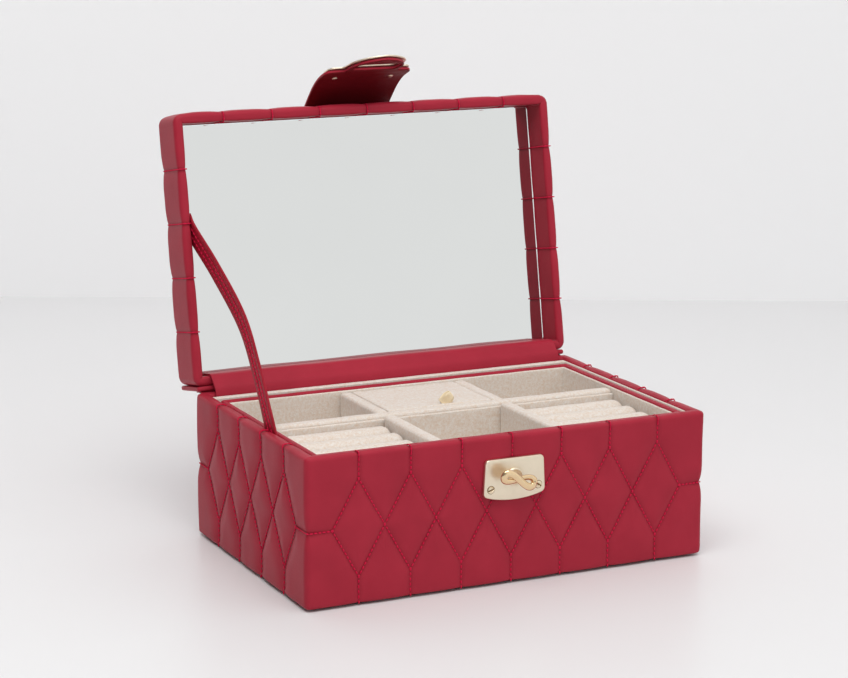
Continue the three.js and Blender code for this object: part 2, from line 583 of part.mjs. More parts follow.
function buildGusset(parent) {
  const wallReach = HALF_D - LID_BACK + LID_WALL;          // lid's back wall, inner face
  const skin = LAYER_GAP + GUSSET_T / 2;
  const slotY = INSIDE_Y - GUSSET_SLOT / 2;
  const top = RIM_Z + LAYER_GAP + GUSSET_T / 2;
  const line = new THREE.SplineCurve([
    onOpenLid(wallReach + skin, MIRROR_RECESS - 1.2),
    onOpenLid(wallReach + skin, MIRROR_RECESS / 2),
    onOpenLid(wallReach + skin, 0.5),
    onOpenLid(wallReach - 1.0, -skin - 1.2),
    new THREE.Vector2(INSIDE_Y + 2.8, top + 4.2),
    new THREE.Vector2(INSIDE_Y + 0.1, top + 1.6),
    new THREE.Vector2(slotY, RIM_Z - 1.2),
    new THREE.Vector2(slotY, RIM_Z - 5),
  ]);
  const half = LINER_X - GUSSET_INSET;
  mesh('hinge_gusset', runAlong(bandOutline(line.getSpacedPoints(24), GUSSET_T), -half, half), DARK_LEATHER, parent);
}

function buildFold(parent) {
  const off = LAYER_GAP + FOLD_T / 2;
  const line = [
    new THREE.Vector2(HALF_D + off, RIM_Z - FOLD_LEG),
    new THREE.Vector2(HALF_D + off, RIM_Z - 1.6),
    onOpenLid(-off, 1.9),
    onOpenLid(-off, FOLD_LEG),
  ];
  const half = HALF_W - SPINE_INSET - 2;
  mesh('spine_fold', runAlong(bandOutline(line, FOLD_T), -half, half), LEATHER, parent);
}

// The stay strap: flat against the side walls at its ends, bowing inward between them.
function buildStrap(parent) {
  const steps = 20;
  const lidEnd = onOpenLid(STRAP_LID_REACH, STRAP_LID_DEPTH);
  const outX = -(INSIDE_X - GLUE_GAP - STRAP_T / 2);
  const lidX = -(HALF_W - LID_WALL - LAYER_GAP - STRAP_T / 2);
  const path = new THREE.CatmullRomCurve3([
    new THREE.Vector3(outX, STRAP_BODY_Y - 1, RIM_Z - STRAP_TUCK),
    new THREE.Vector3(outX, STRAP_BODY_Y + 3, RIM_Z - 1),
    new THREE.Vector3(outX + 0.2, STRAP_BODY_Y + 9, RIM_Z + STRAP_W / 2),
    new THREE.Vector3(outX + STRAP_BOW * 0.5, 13, RIM_Z + 25),
    new THREE.Vector3(outX + STRAP_BOW, 46, RIM_Z + 49),
    new THREE.Vector3(outX + STRAP_BOW * 0.6, 80, RIM_Z + 74),
    new THREE.Vector3(lidX + 0.6, lidEnd.x - 8, lidEnd.y - 7),
    new THREE.Vector3(lidX, lidEnd.x, lidEnd.y),
  ]);
  const points = path.getSpacedPoints(steps);
  const positions = [];
  points.forEach((point, k) => {
    const along = points[Math.min(k + 1, steps)].clone().sub(points[Math.max(k - 1, 0)]).normalize();
    const across = new THREE.Vector3(0, -along.z, along.y).normalize();
    const through = along.clone().cross(across).normalize();
    for (const [a, t] of [[-1, -1], [1, -1], [1, 1], [-1, 1]]) {
      const corner = point.clone().addScaledVector(across, a * STRAP_W / 2).addScaledVector(through, t * STRAP_T / 2);
      positions.push(corner.x, corner.y, corner.z);
    }
  });
  const index = [];
  for (let k = 0; k < steps; k++) {
    for (let s = 0; s < 4; s++) {
      const a = 4 * k + s;
      const b = 4 * k + (s + 1) % 4;
      index.push(a, b, b + 4, a, b + 4, a + 4);
    }
  }
  const last = 4 * steps;
  index.push(0, 2, 1, 0, 3, 2, last, last + 1, last + 2, last, last + 2, last + 3);
  const geometry = new THREE.BufferGeometry();
  geometry.setAttribute('position', new THREE.Float32BufferAttribute(positions, 3));
  geometry.setIndex(index);
  mesh('stay_strap', geometry, DARK_LEATHER, parent);
}

// ---- assembly -----------------------------------------------------------------------------------
buildBody(caseGroup);
buildLiner(caseGroup);
buildLock(caseGroup);
buildTray(caseGroup);

const lidTurn = new THREE.Group();
lidTurn.position.set(0, AXIS_Y, AXIS_Z);
lidTurn.rotation.x = -radians(OPEN_ANGLE);
const lidGroup = new THREE.Group();
lidGroup.position.set(0, -AXIS_Y, -AXIS_Z);
lidTurn.add(lidGroup);
caseGroup.add(lidTurn);
buildLid(lidGroup);
buildFlap(lidGroup);

buildGusset(caseGroup);
buildFold(caseGroup);
buildStrap(caseGroup);

export default caseGroup;
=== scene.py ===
import math

import bmesh
import bpy
import numpy as np
from bpy.props import FloatProperty, FloatVectorProperty, PointerProperty
from mathutils import Matrix, Vector
from mathutils.kdtree import KDTree


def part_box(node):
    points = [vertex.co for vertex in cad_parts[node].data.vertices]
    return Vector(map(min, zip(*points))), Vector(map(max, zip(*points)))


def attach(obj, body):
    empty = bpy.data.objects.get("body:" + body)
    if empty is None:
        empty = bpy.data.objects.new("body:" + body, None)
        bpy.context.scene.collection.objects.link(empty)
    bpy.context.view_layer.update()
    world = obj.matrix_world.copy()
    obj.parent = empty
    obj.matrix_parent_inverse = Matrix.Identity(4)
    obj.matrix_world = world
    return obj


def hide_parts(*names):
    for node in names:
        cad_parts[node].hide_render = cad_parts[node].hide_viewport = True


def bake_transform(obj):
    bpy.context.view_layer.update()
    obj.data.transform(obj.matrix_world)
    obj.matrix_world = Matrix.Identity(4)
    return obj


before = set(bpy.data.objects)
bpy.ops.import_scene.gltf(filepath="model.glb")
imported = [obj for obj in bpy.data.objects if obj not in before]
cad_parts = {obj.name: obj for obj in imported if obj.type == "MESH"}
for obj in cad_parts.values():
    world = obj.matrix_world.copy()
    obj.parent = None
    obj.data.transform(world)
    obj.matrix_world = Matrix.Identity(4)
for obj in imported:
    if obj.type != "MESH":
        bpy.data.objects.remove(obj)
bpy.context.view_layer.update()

bl_info = {
    "name": "Quilted Jewellery Case",
    "version": (1, 0, 0),
    "blender": (4, 5, 0),
    "location": "View3D > Sidebar > Jewellery Case",
    "description": "Builds a quilted leather jewellery case with a mirror lid and a lift-out tray",
    "category": "Object",
}

MM = 0.001
PER_MM = 1000.0               # texture scale that makes one pattern cell about a millimetre

# The lid turns on an axis along x at the top of the back wall, and stands this far open.
HINGE_Y, HINGE_Z = 83.25, 88.4
OPEN = math.radians(-100.5)

# The shut lid: its rim, height, front and back, and its wall and the depth to the mirror (mm).
LID_RIM_Z, LID_H = 88.6, 31.2
LID_TOP_Z = LID_RIM_Z + LID_H
LID_FRONT_Y, LID_BACK_Y = -83.25, 80.05
LID_WALL, LID_RECESS = 5.5, 18.0
LID_CORNER = 5.0
BODY_WALL, BODY_CORNER = 6.5, 3.0
# The soft rims give a little where they meet, so each stops this far short (mm).
RIM_PRESS = 0.3
# A distance with no seam near it (mm).
FAR = 99.0
# How wide the painted shade along a seam is, and how strong (mm, share).
PAINTED_SEAM_SHADE_REACH, PAINTED_SEAM_SHADE = 1.3, 0.8

# The quilting: how many diamonds stand side by side on each face.
FRONT_DIAMONDS, SIDE_DIAMONDS = 7, 4
DIAMOND_MID_Z, DIAMOND_HALF_H = 44.9, 28.0


# ---------------------------------------------------------------- colours

def linear(hex_colour):
    """One sRGB hex colour as linear red, green, blue and alpha."""
    parts = [int(hex_colour[i:i + 2], 16) / 255 for i in (1, 3, 5)]
    return tuple(c / 12.92 if c <= 0.04045 else ((c + 0.055) / 1.055) ** 2.4
                 for c in parts) + (1.0,)


# ---------------------------------------------------------------- settings

class CASE_PG_quilting(bpy.types.PropertyGroup):
    """Sizes of the padding and the stitches, in millimetres."""
    pad_depth: FloatProperty(name="Pad depth", default=1.2, min=0,
                             description="How deep a seam sinks between two pads, mm")
    pad_reach: FloatProperty(name="Pad reach", default=12.0, min=1,
                             description="How far from a seam a pad reaches its crown, mm")
    groove: FloatProperty(name="Groove", default=0.35, min=0,
                          description="Depth of the tight groove under the thread, mm")
    crown: FloatProperty(name="Crown", default=0.4, min=0,
                         description="How far a pad stands out of the case's plane, mm")
    stitch_pitch: FloatProperty(name="Stitch pitch", default=2.5, min=1,
                                description="Length of one stitch and its gap, mm")
    thread: FloatProperty(name="Thread", default=0.5, min=0.05,
                          description="Radius of the sewing thread, mm")
    mesh_step: FloatProperty(name="Mesh step", default=1.35, min=0.6,
                             description="Spacing of the covers' mesh, mm")


class CASE_PG_finish(bpy.types.PropertyGroup):
    """Colours that a user would change."""
    leather: FloatVectorProperty(name="Leather", subtype="COLOR", size=4, min=0, max=1,
                                 default=linear("#A52739"),
                                 description="Colour of the quilted leather")
    # The lining colour is dark as painted shade for the flap's underside.
    lining: FloatVectorProperty(name="Flap lining", subtype="COLOR", size=4, min=0, max=1,
                                default=linear("#6E1019"),
                                description="Colour of the leather under the flap")
    thread: FloatVectorProperty(name="Thread", subtype="COLOR", size=4, min=0, max=1,
                                default=linear("#D41041"),
                                description="Colour of the sewing thread")
    fabric: FloatVectorProperty(name="Fabric", subtype="COLOR", size=4, min=0, max=1,
                                default=linear("#E2E0DC"),
                                description="Colour of the pile fabric in the tray")
    metal: FloatVectorProperty(name="Metal", subtype="COLOR", size=4, min=0, max=1,
                               default=linear("#EFE2CB"),
                               description="Colour of the polished fittings")


# ---------------------------------------------------------------- frame sizes

def box_mm(node):
    """A CAD node's lowest and highest corners at rest, in millimetres."""
    low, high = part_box(node)[:2]
    return np.array(low, float) / MM, np.array(high, float) / MM


def open_lid(points):
    """Points given with the lid shut, moved to where the open lid has them."""
    p = np.array(points, float)
    y, z = p[..., 1] - HINGE_Y, p[..., 2] - HINGE_Z
    c, s = math.cos(OPEN), math.sin(OPEN)
    p[..., 1], p[..., 2] = HINGE_Y + y * c - z * s, HINGE_Z + y * s + z * c
    return p


# ---------------------------------------------------------------- mesh helpers

def unit(v):
    """Each vector made one long; a vector with no length stays so."""
    return v / np.maximum(np.linalg.norm(v, axis=-1, keepdims=True), 1e-9)


def piece(name, parts, materials, body=None, stands_for=(), smooth=True, angle=None):
    """Join mesh parts (points in mm, faces, material number) into one object at the origin."""
    mesh = bpy.data.meshes.new(name)
    b = bmesh.new()
    for points, faces, number in parts:
        made = [b.verts.new(Vector(p) * MM) for p in np.asarray(points, float)]
        for f in faces:
            ring = []
            for i in f:
                if made[i] not in ring:
                    ring.append(made[i])
            if len(ring) > 2:
                try:
                    b.faces.new(ring).material_index = number
                except ValueError:
                    pass        # this face is there already
    bmesh.ops.remove_doubles(b, verts=b.verts, dist=2e-6)
    bmesh.ops.dissolve_degenerate(b, edges=b.edges, dist=1e-7)
    bmesh.ops.recalc_face_normals(b, faces=b.faces)
    for f in b.faces:
        f.smooth = smooth
    b.to_mesh(mesh)
    b.free()
    if angle is not None:
        mesh.set_sharp_from_angle(angle=math.radians(angle))
    obj = bpy.data.objects.new(name, mesh)
    bpy.context.scene.collection.objects.link(obj)
    for m in materials:
        mesh.materials.append(m)
    if stands_for:
        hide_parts(*stands_for)
    if body:
        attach(obj, body)
    return obj


def wander(p, size, seed=0.0):
    """A smooth, repeatable unevenness from -1 to 1 over points in millimetres."""
    p = np.asarray(p, float) / size
    x, y, z = p[..., 0] + seed, p[..., 1] - 1.7 * seed, p[..., 2] + 0.6 * seed
    return (np.sin(2.1 * x + 1.3 * np.sin(1.7 * y + z)) +
            np.sin(1.9 * y + 1.1 * np.sin(2.3 * z - x)) +
            np.sin(2.3 * z + 1.2 * np.sin(1.5 * x + 2.0 * y))) / 3


def patch_faces(rows, cols, start):
    """Four-sided faces over an open patch of points, from the number of its first point."""
    return [(start + i * cols + j, start + (i + 1) * cols + j, start + (i + 1) * cols + j + 1,
             start + i * cols + j + 1) for i in range(rows - 1) for j in range(cols - 1)]


def soft_block(low, high, radius, step=4.0, uneven=0.0, seed=0.0):
    """A block with rounded edges, covered evenly enough to bend or displace."""
    low, high = np.array(low, float), np.array(high, float)
    radius = min(radius, 0.499 * float((high - low).min()))

    def marks(a, b):
        """Stations along one side: close together over each rounded edge, even between."""
        edge = radius * np.tan(np.linspace(0, math.pi / 4, 4))[::-1]
        n = max(1, int(round((b - a - 2 * radius) / step)))
        return np.unique(np.round(np.concatenate(
            [a + radius - edge, np.linspace(a + radius, b - radius, n + 1),
             b - radius + edge]), 5))
    axes = [marks(low[i], high[i]) for i in range(3)]
    points, faces = [], []
    for axis in range(3):
        u, v = [i for i in range(3) if i != axis]
        gu, gv = np.meshgrid(axes[u], axes[v], indexing="ij")
        for end in (low[axis], high[axis]):
            start = len(points)
            grid = np.zeros(gu.shape + (3,))
            grid[..., u], grid[..., v], grid[..., axis] = gu, gv, end
            points.extend(grid.reshape(-1, 3))
            faces += patch_faces(*gu.shape, start)
    p = np.array(points)
    core = np.clip(p, low + radius, high - radius)
    out = unit(p - core)
    p = core + out * radius
    if uneven:
        p = p + out * (uneven * wander(p, 9.0, seed))[:, None]
    return p, faces


def columns(count_x, count_y, count_corner):
    """Stations round a rounded rectangle: reach of the straight part, turn of the corner."""
    reach, turn, side = [], [], []
    corners = [(1, -1, -90), (1, 1, 0), (-1, 1, 90), (-1, -1, 180)]
    runs = [((-1, -1), (1, -1), (0, -1), count_x), ((1, -1), (1, 1), (1, 0), count_y),
            ((1, 1), (-1, 1), (0, 1), count_x), ((-1, 1), (-1, -1), (-1, 0), count_y)]
    for k in range(4):
        a, b, out, n = runs[k]
        for t in np.linspace(0, 1, n + 1):
            reach.append((a[0] + (b[0] - a[0]) * t, a[1] + (b[1] - a[1]) * t))
            turn.append(out)
            side.append(k)
        cx, cy, start = corners[k]
        for t in np.linspace(0, 1, count_corner + 1)[1:-1]:
            angle = math.radians(start + 90 * t)
            reach.append((cx, cy))
            turn.append((math.cos(angle), math.sin(angle)))
            side.append(-1)
    return np.array(reach, float), np.array(turn, float), np.array(side)


def fillet_path(corners, step):
    """A path through (inset, z, radius) corners with the corners rounded, as even points."""
    c = [np.array(p[:2], float) for p in corners]
    out = [c[0]]
    for i in range(1, len(c) - 1):
        d1, d2 = unit(c[i] - c[i - 1]), unit(c[i + 1] - c[i])
        r = corners[i][2]
        if r <= 0:
            out.append(c[i])
            continue
        centre = c[i] - d1 * r + d2 * r
        n = max(4, int(math.ceil(r * 1.6 / step * 1.6)))
        for a in np.linspace(0, math.pi / 2, n + 1):
            out.append(centre + (d1 * math.sin(a) - d2 * math.cos(a)) * r)
    out.append(c[-1])
    even = [out[0]]
    for a, b in zip(out, out[1:]):
        gap = np.linalg.norm(b - a)
        n = max(1, int(math.ceil(gap / step - 0.2)))
        even += [a + (b - a) * k / n for k in range(1, n + 1)]
    path = np.array(even)
    keep = np.concatenate([[True], np.linalg.norm(np.diff(path, axis=0), axis=1) > 1e-6])
    return path[keep]


def run_along(path):
    """The length travelled at each point of a path."""
    return np.concatenate([[0], np.cumsum(np.linalg.norm(np.diff(path, axis=0), axis=1))])


class Wall:
    """A profile carried round a rounded rectangle, with the seam pattern pressed into it."""

    def __init__(self, centre, half, radius, path, step):
        self.centre, self.half, self.radius = np.array(centre), np.array(half), radius
        self.path = path
        self.run = run_along(path)
        self.normal = unit(np.gradient(path, axis=0)[:, ::-1])
        straight = self.half - radius
        self.counts = (int(2 * straight[0] / step), int(2 * straight[1] / step), 7)
        self.reach, self.turn, self.side = columns(*self.counts)

    def ring(self, inset, z):
        """One level turn round the wall, flat, at an inset and a height."""
        corner = max(self.radius - inset, 0.0)
        inner = self.half - inset - corner
        xy = self.centre + self.reach * inner + self.turn * corner
        return np.column_stack([xy, np.full(len(xy), z)])

    def surface(self, height=None):
        """Points (rows, columns, 3); height(p, t, side) gives the rise along the normal."""
        rows = []
        for (inset, z), (out, up), t in zip(self.path, self.normal, self.run):
            p = self.ring(inset, z)
            if height is not None:
                h = height(p, t, self.side)
                if inset >= self.radius - 1e-6:      # a sharp corner has one point, kept as it is
                    h = np.where((np.abs(self.reach) == 1).all(axis=1), 0.0, h)
                p = p + np.column_stack([self.turn * out, np.full(len(p), up)]) * h[:, None]
            rows.append(p)
        return np.array(rows)

    def shade(self, distance):
        """The painted seam shade of every point, from distance(p, t, side)."""
        return np.array([painted_seam_shade(distance(self.ring(inset, z), t, self.side))
                         for (inset, z), t in zip(self.path, self.run)]).ravel()

    def at(self, side, u, t, lift):
        """One point on a face: side number, place along it and place up the profile."""
        inset, z = (np.interp(t, self.run, self.path[:, k]) for k in (0, 1))
        out, up = (np.interp(t, self.run, self.normal[:, k]) for k in (0, 1))
        face = [(0, -1), (1, 0), (0, 1), (-1, 0)][side]
        place = self.half - inset + lift * out
        if face[0] == 0:
            return (self.centre[0] + u, self.centre[1] + face[1] * place[1], z + up * lift)
        return (self.centre[0] + face[0] * place[0], self.centre[1] + u, z + up * lift)


def grid_faces(rows, cols, wrap_rows=False):
    """Four-sided faces over rows of points that each close on themselves."""
    faces = []
    for i in range(rows if wrap_rows else rows - 1):
        a, b = i * cols, ((i + 1) % rows) * cols
        for j in range(cols):
            k = (j + 1) % cols
            faces.append((a + j, a + k, b + k, b + j))
    return faces


def end_caps(rows, cols):
    """The two faces that close a row-by-row tube at its ends."""
    return [tuple(range(cols)), tuple(range(cols * (rows - 1), cols * rows))]


def wrapped(rows):
    """A mesh part from the rows of a closed profile carried round a wall."""
    return rows.reshape(-1, 3), grid_faces(len(rows), rows.shape[1], True), 0


def seam_distance(u, t, seams):
    """Distance from each point of a face to its nearest seam."""
    best = np.full(np.shape(u), FAR)
    for (u0, t0), (u1, t1) in seams:
        du, dt = u1 - u0, t1 - t0
        k = np.clip(((u - u0) * du + (t - t0) * dt) / (du * du + dt * dt), 0, 1)
        best = np.minimum(best, np.hypot(u - u0 - k * du, t - t0 - k * dt))
    return best


def diamond_seams(half_width, count, low, high, mid, half_height):
    """Seams of one wall face: diamonds side by side, uprights from their tips, end links."""
    total = count + 1
    pitch = 2 * half_width / total
    seams = []
    for k in range(count):
        u = (k - (count - 1) / 2) * pitch
        for s in (-1, 1):
            seams.append(((u + s * pitch / 2, mid), (u, mid + half_height)))
            seams.append(((u + s * pitch / 2, mid), (u, mid - half_height)))
        seams.append(((u, mid + half_height), (u, high)))
        seams.append(((u, mid - half_height), (u, low)))
    edge = count / 2 * pitch
    for s in (-1, 1):
        seams.append(((s * edge, mid), (s * (half_width + 3), mid)))
    return seams


def upright_seams(half_width, count, low, high):
    """Straight seams across a wall at the same spacing as the diamonds."""
    pitch = 2 * half_width / (count + 1)
    return [(((k - (count - 1) / 2) * pitch, low), ((k - (count - 1) / 2) * pitch, high))
            for k in range(count)]


def pad_rise(distance, q, strength=1.0):
    """Rise of a padded face above its plane, from the distance to the nearest seam."""
    near = np.clip(1 - distance / q.pad_reach, 0, 1)
    return q.crown * strength - strength * (
        q.pad_depth * near ** 2 + q.groove * np.exp(-(distance / 0.9) ** 2))


# ---------------------------------------------------------------- Geometry Nodes

def add(tree, kind, settings=None, values=None, links=None):
    """Add one node, with its settings, its sockets' values and its links."""
    node = tree.nodes.new(kind)
    for key, value in (settings or {}).items():
        setattr(node, key, value)
    for key, value in (values or {}).items():
        node.inputs[key].default_value = value
    for key, source in (links or {}).items():
        tree.links.new(source, node.inputs[key])
    return node


def set_out_tree(name, inputs):
    """A tree that starts from polylines: its named inputs, and the lines as a curve."""
    tree = bpy.data.node_groups.new(name, "GeometryNodeTree")
    for label, kind in (("Geometry", "Geometry"), *inputs, ("Seed", "Int"), ("Finish", "Material")):
        tree.interface.new_socket(label, in_out="INPUT", socket_type="NodeSocket" + kind)
    tree.interface.new_socket("Geometry", in_out="OUTPUT", socket_type="NodeSocketGeometry")
    source = add(tree, "NodeGroupInput").outputs
    curve = add(tree, "GeometryNodeMeshToCurve", links={"Mesh": source["Geometry"]})
    return tree, source, curve.outputs["Curve"]


def end_tree(tree, source, laid):
    """Make the laid copies real, give them their finish and end the tree."""
    real = add(tree, "GeometryNodeRealizeInstances", links={"Geometry": laid.outputs["Instances"]})
    done = add(tree, "GeometryNodeSetMaterial",
               links={"Geometry": real.outputs["Geometry"], "Material": source["Finish"]})
    add(tree, "NodeGroupOutput", links={"Geometry": done.outputs["Geometry"]})
    return tree


def stitch_tree():
    """Stitches along polylines: named inputs for pitch, thread radius and finish."""
    if "Stitch row" in bpy.data.node_groups:
        return bpy.data.node_groups["Stitch row"]
    tree, source, curve = set_out_tree("Stitch row", [
        ("Pitch", "Float"), ("Thread radius", "Float"), ("Stitch share", "Float")])
    spots = add(tree, "GeometryNodeCurveToPoints", {"mode": "LENGTH"},
                links={"Curve": curve, "Length": source["Pitch"]})
    along = add(tree, "FunctionNodeAlignRotationToVector", {"axis": "Z"},
                links={"Vector": spots.outputs["Tangent"]})
    tilt = add(tree, "FunctionNodeRandomValue", {"data_type": "FLOAT_VECTOR"},
               {"Min": (-0.07, -0.07, 0.0), "Max": (0.07, 0.07, 0.0)},
               {"Seed": source["Seed"]})
    turned = add(tree, "FunctionNodeRotateRotation", {"rotation_space": "LOCAL"},
                 links={"Rotation": along.outputs["Rotation"], "Rotate By": tilt.outputs["Value"]})
    half = add(tree, "ShaderNodeMath", {"operation": "MULTIPLY"},
               links={0: source["Pitch"], 1: source["Stitch share"]})
    size = add(tree, "ShaderNodeCombineXYZ",
               links={"X": source["Thread radius"], "Y": source["Thread radius"],
                      "Z": half.outputs[0]})
    bead = add(tree, "GeometryNodeMeshUVSphere", values={"Segments": 6, "Rings": 5, "Radius": 1.0})
    laid = add(tree, "GeometryNodeInstanceOnPoints",
               links={"Points": spots.outputs["Points"], "Instance": bead.outputs["Mesh"],
                      "Rotation": turned.outputs["Rotation"], "Scale": size.outputs["Vector"]})
    return end_tree(tree, source, laid)


def fibre_tree():
    """Fine fibres standing at random on a line of points."""
    tree, source, curve = set_out_tree("Loose fibres", [
        ("Length", "Float"), ("Thickness", "Float"), ("Count", "Int")])
    spots = add(tree, "GeometryNodeCurveToPoints", {"mode": "COUNT"},
                links={"Curve": curve, "Count": source["Count"]})
    lean = add(tree, "FunctionNodeRandomValue", {"data_type": "FLOAT_VECTOR"},
               {"Min": (-0.9, -1.2, 0.0), "Max": (0.5, 1.2, 6.0)}, {"Seed": source["Seed"]})
    grow = add(tree, "FunctionNodeRandomValue", {"data_type": "FLOAT"},
               {2: 0.3, 3: 1.0}, {"Seed": source["Seed"]})
    hair = add(tree, "GeometryNodeMeshCone", values={"Vertices": 4},
               links={"Radius Top": source["Thickness"], "Radius Bottom": source["Thickness"],
                      "Depth": source["Length"]})
    laid = add(tree, "GeometryNodeInstanceOnPoints",
               links={"Points": spots.outputs["Points"], "Instance": hair.outputs["Mesh"],
                      "Rotation": lean.outputs["Value"], "Scale": grow.outputs[1]})
    return end_tree(tree, source, laid)


def grown(name, lines, tree, values):
    """Run a tree on polylines (points in mm) and keep the result as one plain mesh object."""
    points, edges = [], []
    for line in lines:
        start = len(points)
        points += [Vector(p) * MM for p in line]
        edges += [(start + i, start + i + 1) for i in range(len(line) - 1)]
    mesh = bpy.data.meshes.new(name + "_path")
    mesh.from_pydata(points, edges, [])
    source = bpy.data.objects.new(name + "_path", mesh)
    bpy.context.scene.collection.objects.link(source)
    modifier = source.modifiers.new("Set out", "NODES")
    modifier.node_group = tree
    sockets = {s.name: s.identifier for s in tree.interface.items_tree
               if s.item_type == "SOCKET" and s.in_out == "INPUT"}
    for key, value in values.items():
        modifier[sockets[key]] = value
    source.update_tag()
    graph = bpy.context.evaluated_depsgraph_get()
    graph.update()
    plain = bpy.data.meshes.new_from_object(source.evaluated_get(graph))
    source.modifiers.clear()
    bpy.data.objects.remove(source)
    plain.name = name
    for f in plain.polygons:
        f.use_smooth = True
    obj = bpy.data.objects.new(name, plain)
    bpy.context.scene.collection.objects.link(obj)
    return obj


def sew(name, lines, seed, body=None, share=0.43, closer=1.0, thicker=1.0):
    """A row of stitches of the case's thread along each line."""
    q = bpy.context.scene.case_quilting
    obj = grown(name, lines, stitch_tree(), {
        "Pitch": q.stitch_pitch * closer * MM, "Thread radius": q.thread * thicker * MM,
        "Stitch share": share, "Seed": seed, "Finish": FINISH["thread"]})
    if body:
        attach(obj, body)
    return obj


# ---------------------------------------------------------------- materials

FINISH = {}


def surface(name):
    """A named material, its node tree and its object coordinates."""
    material = bpy.data.materials.new(name)
    material.use_nodes = True
    tree = material.node_tree
    tree.nodes.clear()
    return material, tree, add(tree, "ShaderNodeTexCoord").outputs["Object"]


def finished(material, values, links):
    """Close a material with its shader: constants on its own sockets, and what feeds it."""
    tree = material.node_tree
    shader = add(tree, "ShaderNodeBsdfPrincipled", values=values, links=links)
    add(tree, "ShaderNodeOutputMaterial", links={"Surface": shader.outputs[0]})
    return material


def shaded(colour, share, lift=0.0):
    """A colour made darker or lighter by a share."""
    return tuple(min(1.0, c * share + lift) for c in colour[:3]) + (1.0,)


def leather(name, colour, rough):
    # Coated leather: a pebbled grain pressed into a thin polyurethane skin. The skin gives
    # a soft, slightly broken highlight; near the seams the colour is painted darker, as painted
    # shade.
    material, tree, place = surface(name)
    cloud = add(tree, "ShaderNodeTexNoise", values={"Scale": 0.05 * PER_MM, "Detail": 4.0},
                links={"Vector": place})
    speck = add(tree, "ShaderNodeTexNoise", values={"Scale": 0.9 * PER_MM, "Detail": 2.0},
                links={"Vector": place})
    dye = add(tree, "ShaderNodeMix", {"data_type": "RGBA"},
              {6: shaded(colour, 0.80), 7: shaded(colour, 1.10, 0.003)},
              {0: cloud.outputs["Fac"]})
    # Painted shade: the colour is darkened along the seams by the covers' seam attribute.
    seam = add(tree, "ShaderNodeAttribute", {"attribute_name": "seam"})
    shade_painted_at_seams = add(tree, "ShaderNodeMix", {"data_type": "RGBA"}, {7: shaded(colour, 0.72)},
               {0: seam.outputs["Fac"], 6: dye.outputs[2]})
    # Grain cells of about 0.9 mm, drawn a little coarser than the real 0.5 mm so they show.
    grain = add(tree, "ShaderNodeTexVoronoi", {"feature": "F1"},
                {"Scale": 1.1 * PER_MM, "Randomness": 1.0}, {"Vector": place})
    tops = add(tree, "ShaderNodeMath", {"operation": "MULTIPLY_ADD"}, {1: -0.7},
               {0: grain.outputs["Distance"], 2: speck.outputs["Fac"]})
    skin = add(tree, "ShaderNodeBump", values={"Strength": 0.22, "Distance": 0.12 * MM},
               links={"Height": tops.outputs[0]})
    gloss = add(tree, "ShaderNodeMapRange", values={3: rough - 0.05, 4: rough + 0.08},
                links={0: speck.outputs["Fac"]})
    return finished(material, {"IOR": 1.45, "Specular IOR Level": 0.13, "Coat Weight": 0.02,
                               "Coat Roughness": 0.22},
                    {"Base Color": shade_painted_at_seams.outputs[2], "Normal": skin.outputs["Normal"],
                     "Roughness": gloss.outputs[0]})


def pile(name, colour, deep, fuzz):
    # Short-pile velveteen, woven and then brushed: matt, with a pale bloom at a low angle
    # and blotches where the pile lies another way.
    material, tree, place = surface(name)
    brush = add(tree, "ShaderNodeTexNoise", values={"Scale": 0.55 * PER_MM, "Detail": 5.0,
                                                   "Roughness": 0.65}, links={"Vector": place})
    tuft = add(tree, "ShaderNodeTexNoise", values={"Scale": 1.4 * PER_MM, "Detail": 3.0},
               links={"Vector": place})
    both = add(tree, "ShaderNodeMath", {"operation": "MULTIPLY_ADD"}, {1: 0.55},
               {0: tuft.outputs["Fac"], 2: brush.outputs["Fac"]})
    shade = add(tree, "ShaderNodeMapRange", values={1: 0.5, 2: 1.05}, links={0: both.outputs[0]})
    dye = add(tree, "ShaderNodeMix", {"data_type": "RGBA"}, {6: deep, 7: colour},
              {0: shade.outputs[0]})
    nap = add(tree, "ShaderNodeBump", values={"Strength": fuzz, "Distance": 0.35 * MM},
              links={"Height": both.outputs[0]})
    return finished(material, {"Roughness": 0.95, "Specular IOR Level": 0.2,
                               "Sheen Weight": 0.35, "Sheen Roughness": 0.5},
                    {"Base Color": dye.outputs[2], "Normal": nap.outputs["Normal"]})


def polished_metal(name, colour, rough):
    # Champagne plating on polished zinc: bright, with the faintest haze from handling.
    material, tree, place = surface(name)
    haze = add(tree, "ShaderNodeTexNoise", values={"Scale": 0.25 * PER_MM, "Detail": 3.0},
               links={"Vector": place})
    gloss = add(tree, "ShaderNodeMapRange", values={3: rough, 4: rough + 0.08},
                links={0: haze.outputs["Fac"]})
    wave = add(tree, "ShaderNodeBump", values={"Strength": 0.06, "Distance": 0.2 * MM},
               links={"Height": haze.outputs["Fac"]})
    tone = add(tree, "ShaderNodeMix", {"data_type": "RGBA"},
               {6: colour, 7: shaded(colour, 0.92)}, {0: haze.outputs["Fac"]})
    return finished(material, {"Metallic": 1.0},
                    {"Base Color": tone.outputs[2], "Roughness": gloss.outputs[0],
                     "Normal": wave.outputs["Normal"]})


def two_tone(name, kind, settings, values, tones, constants, relief=None):
    """A material whose colour goes between two tones by one pattern, which may also stand up."""
    material, tree, place = surface(name)
    pattern = add(tree, kind, settings, values, {"Vector": place}).outputs["Fac"]
    dye = add(tree, "ShaderNodeMix", {"data_type": "RGBA"}, {6: tones[0], 7: tones[1]},
              {0: pattern})
    links = {"Base Color": dye.outputs[2]}
    if relief:
        strength, depth = relief
        stand = add(tree, "ShaderNodeBump", values={"Strength": strength, "Distance": depth * MM},
                    links={"Height": pattern})
        links["Normal"] = stand.outputs["Normal"]
    return finished(material, constants, links)


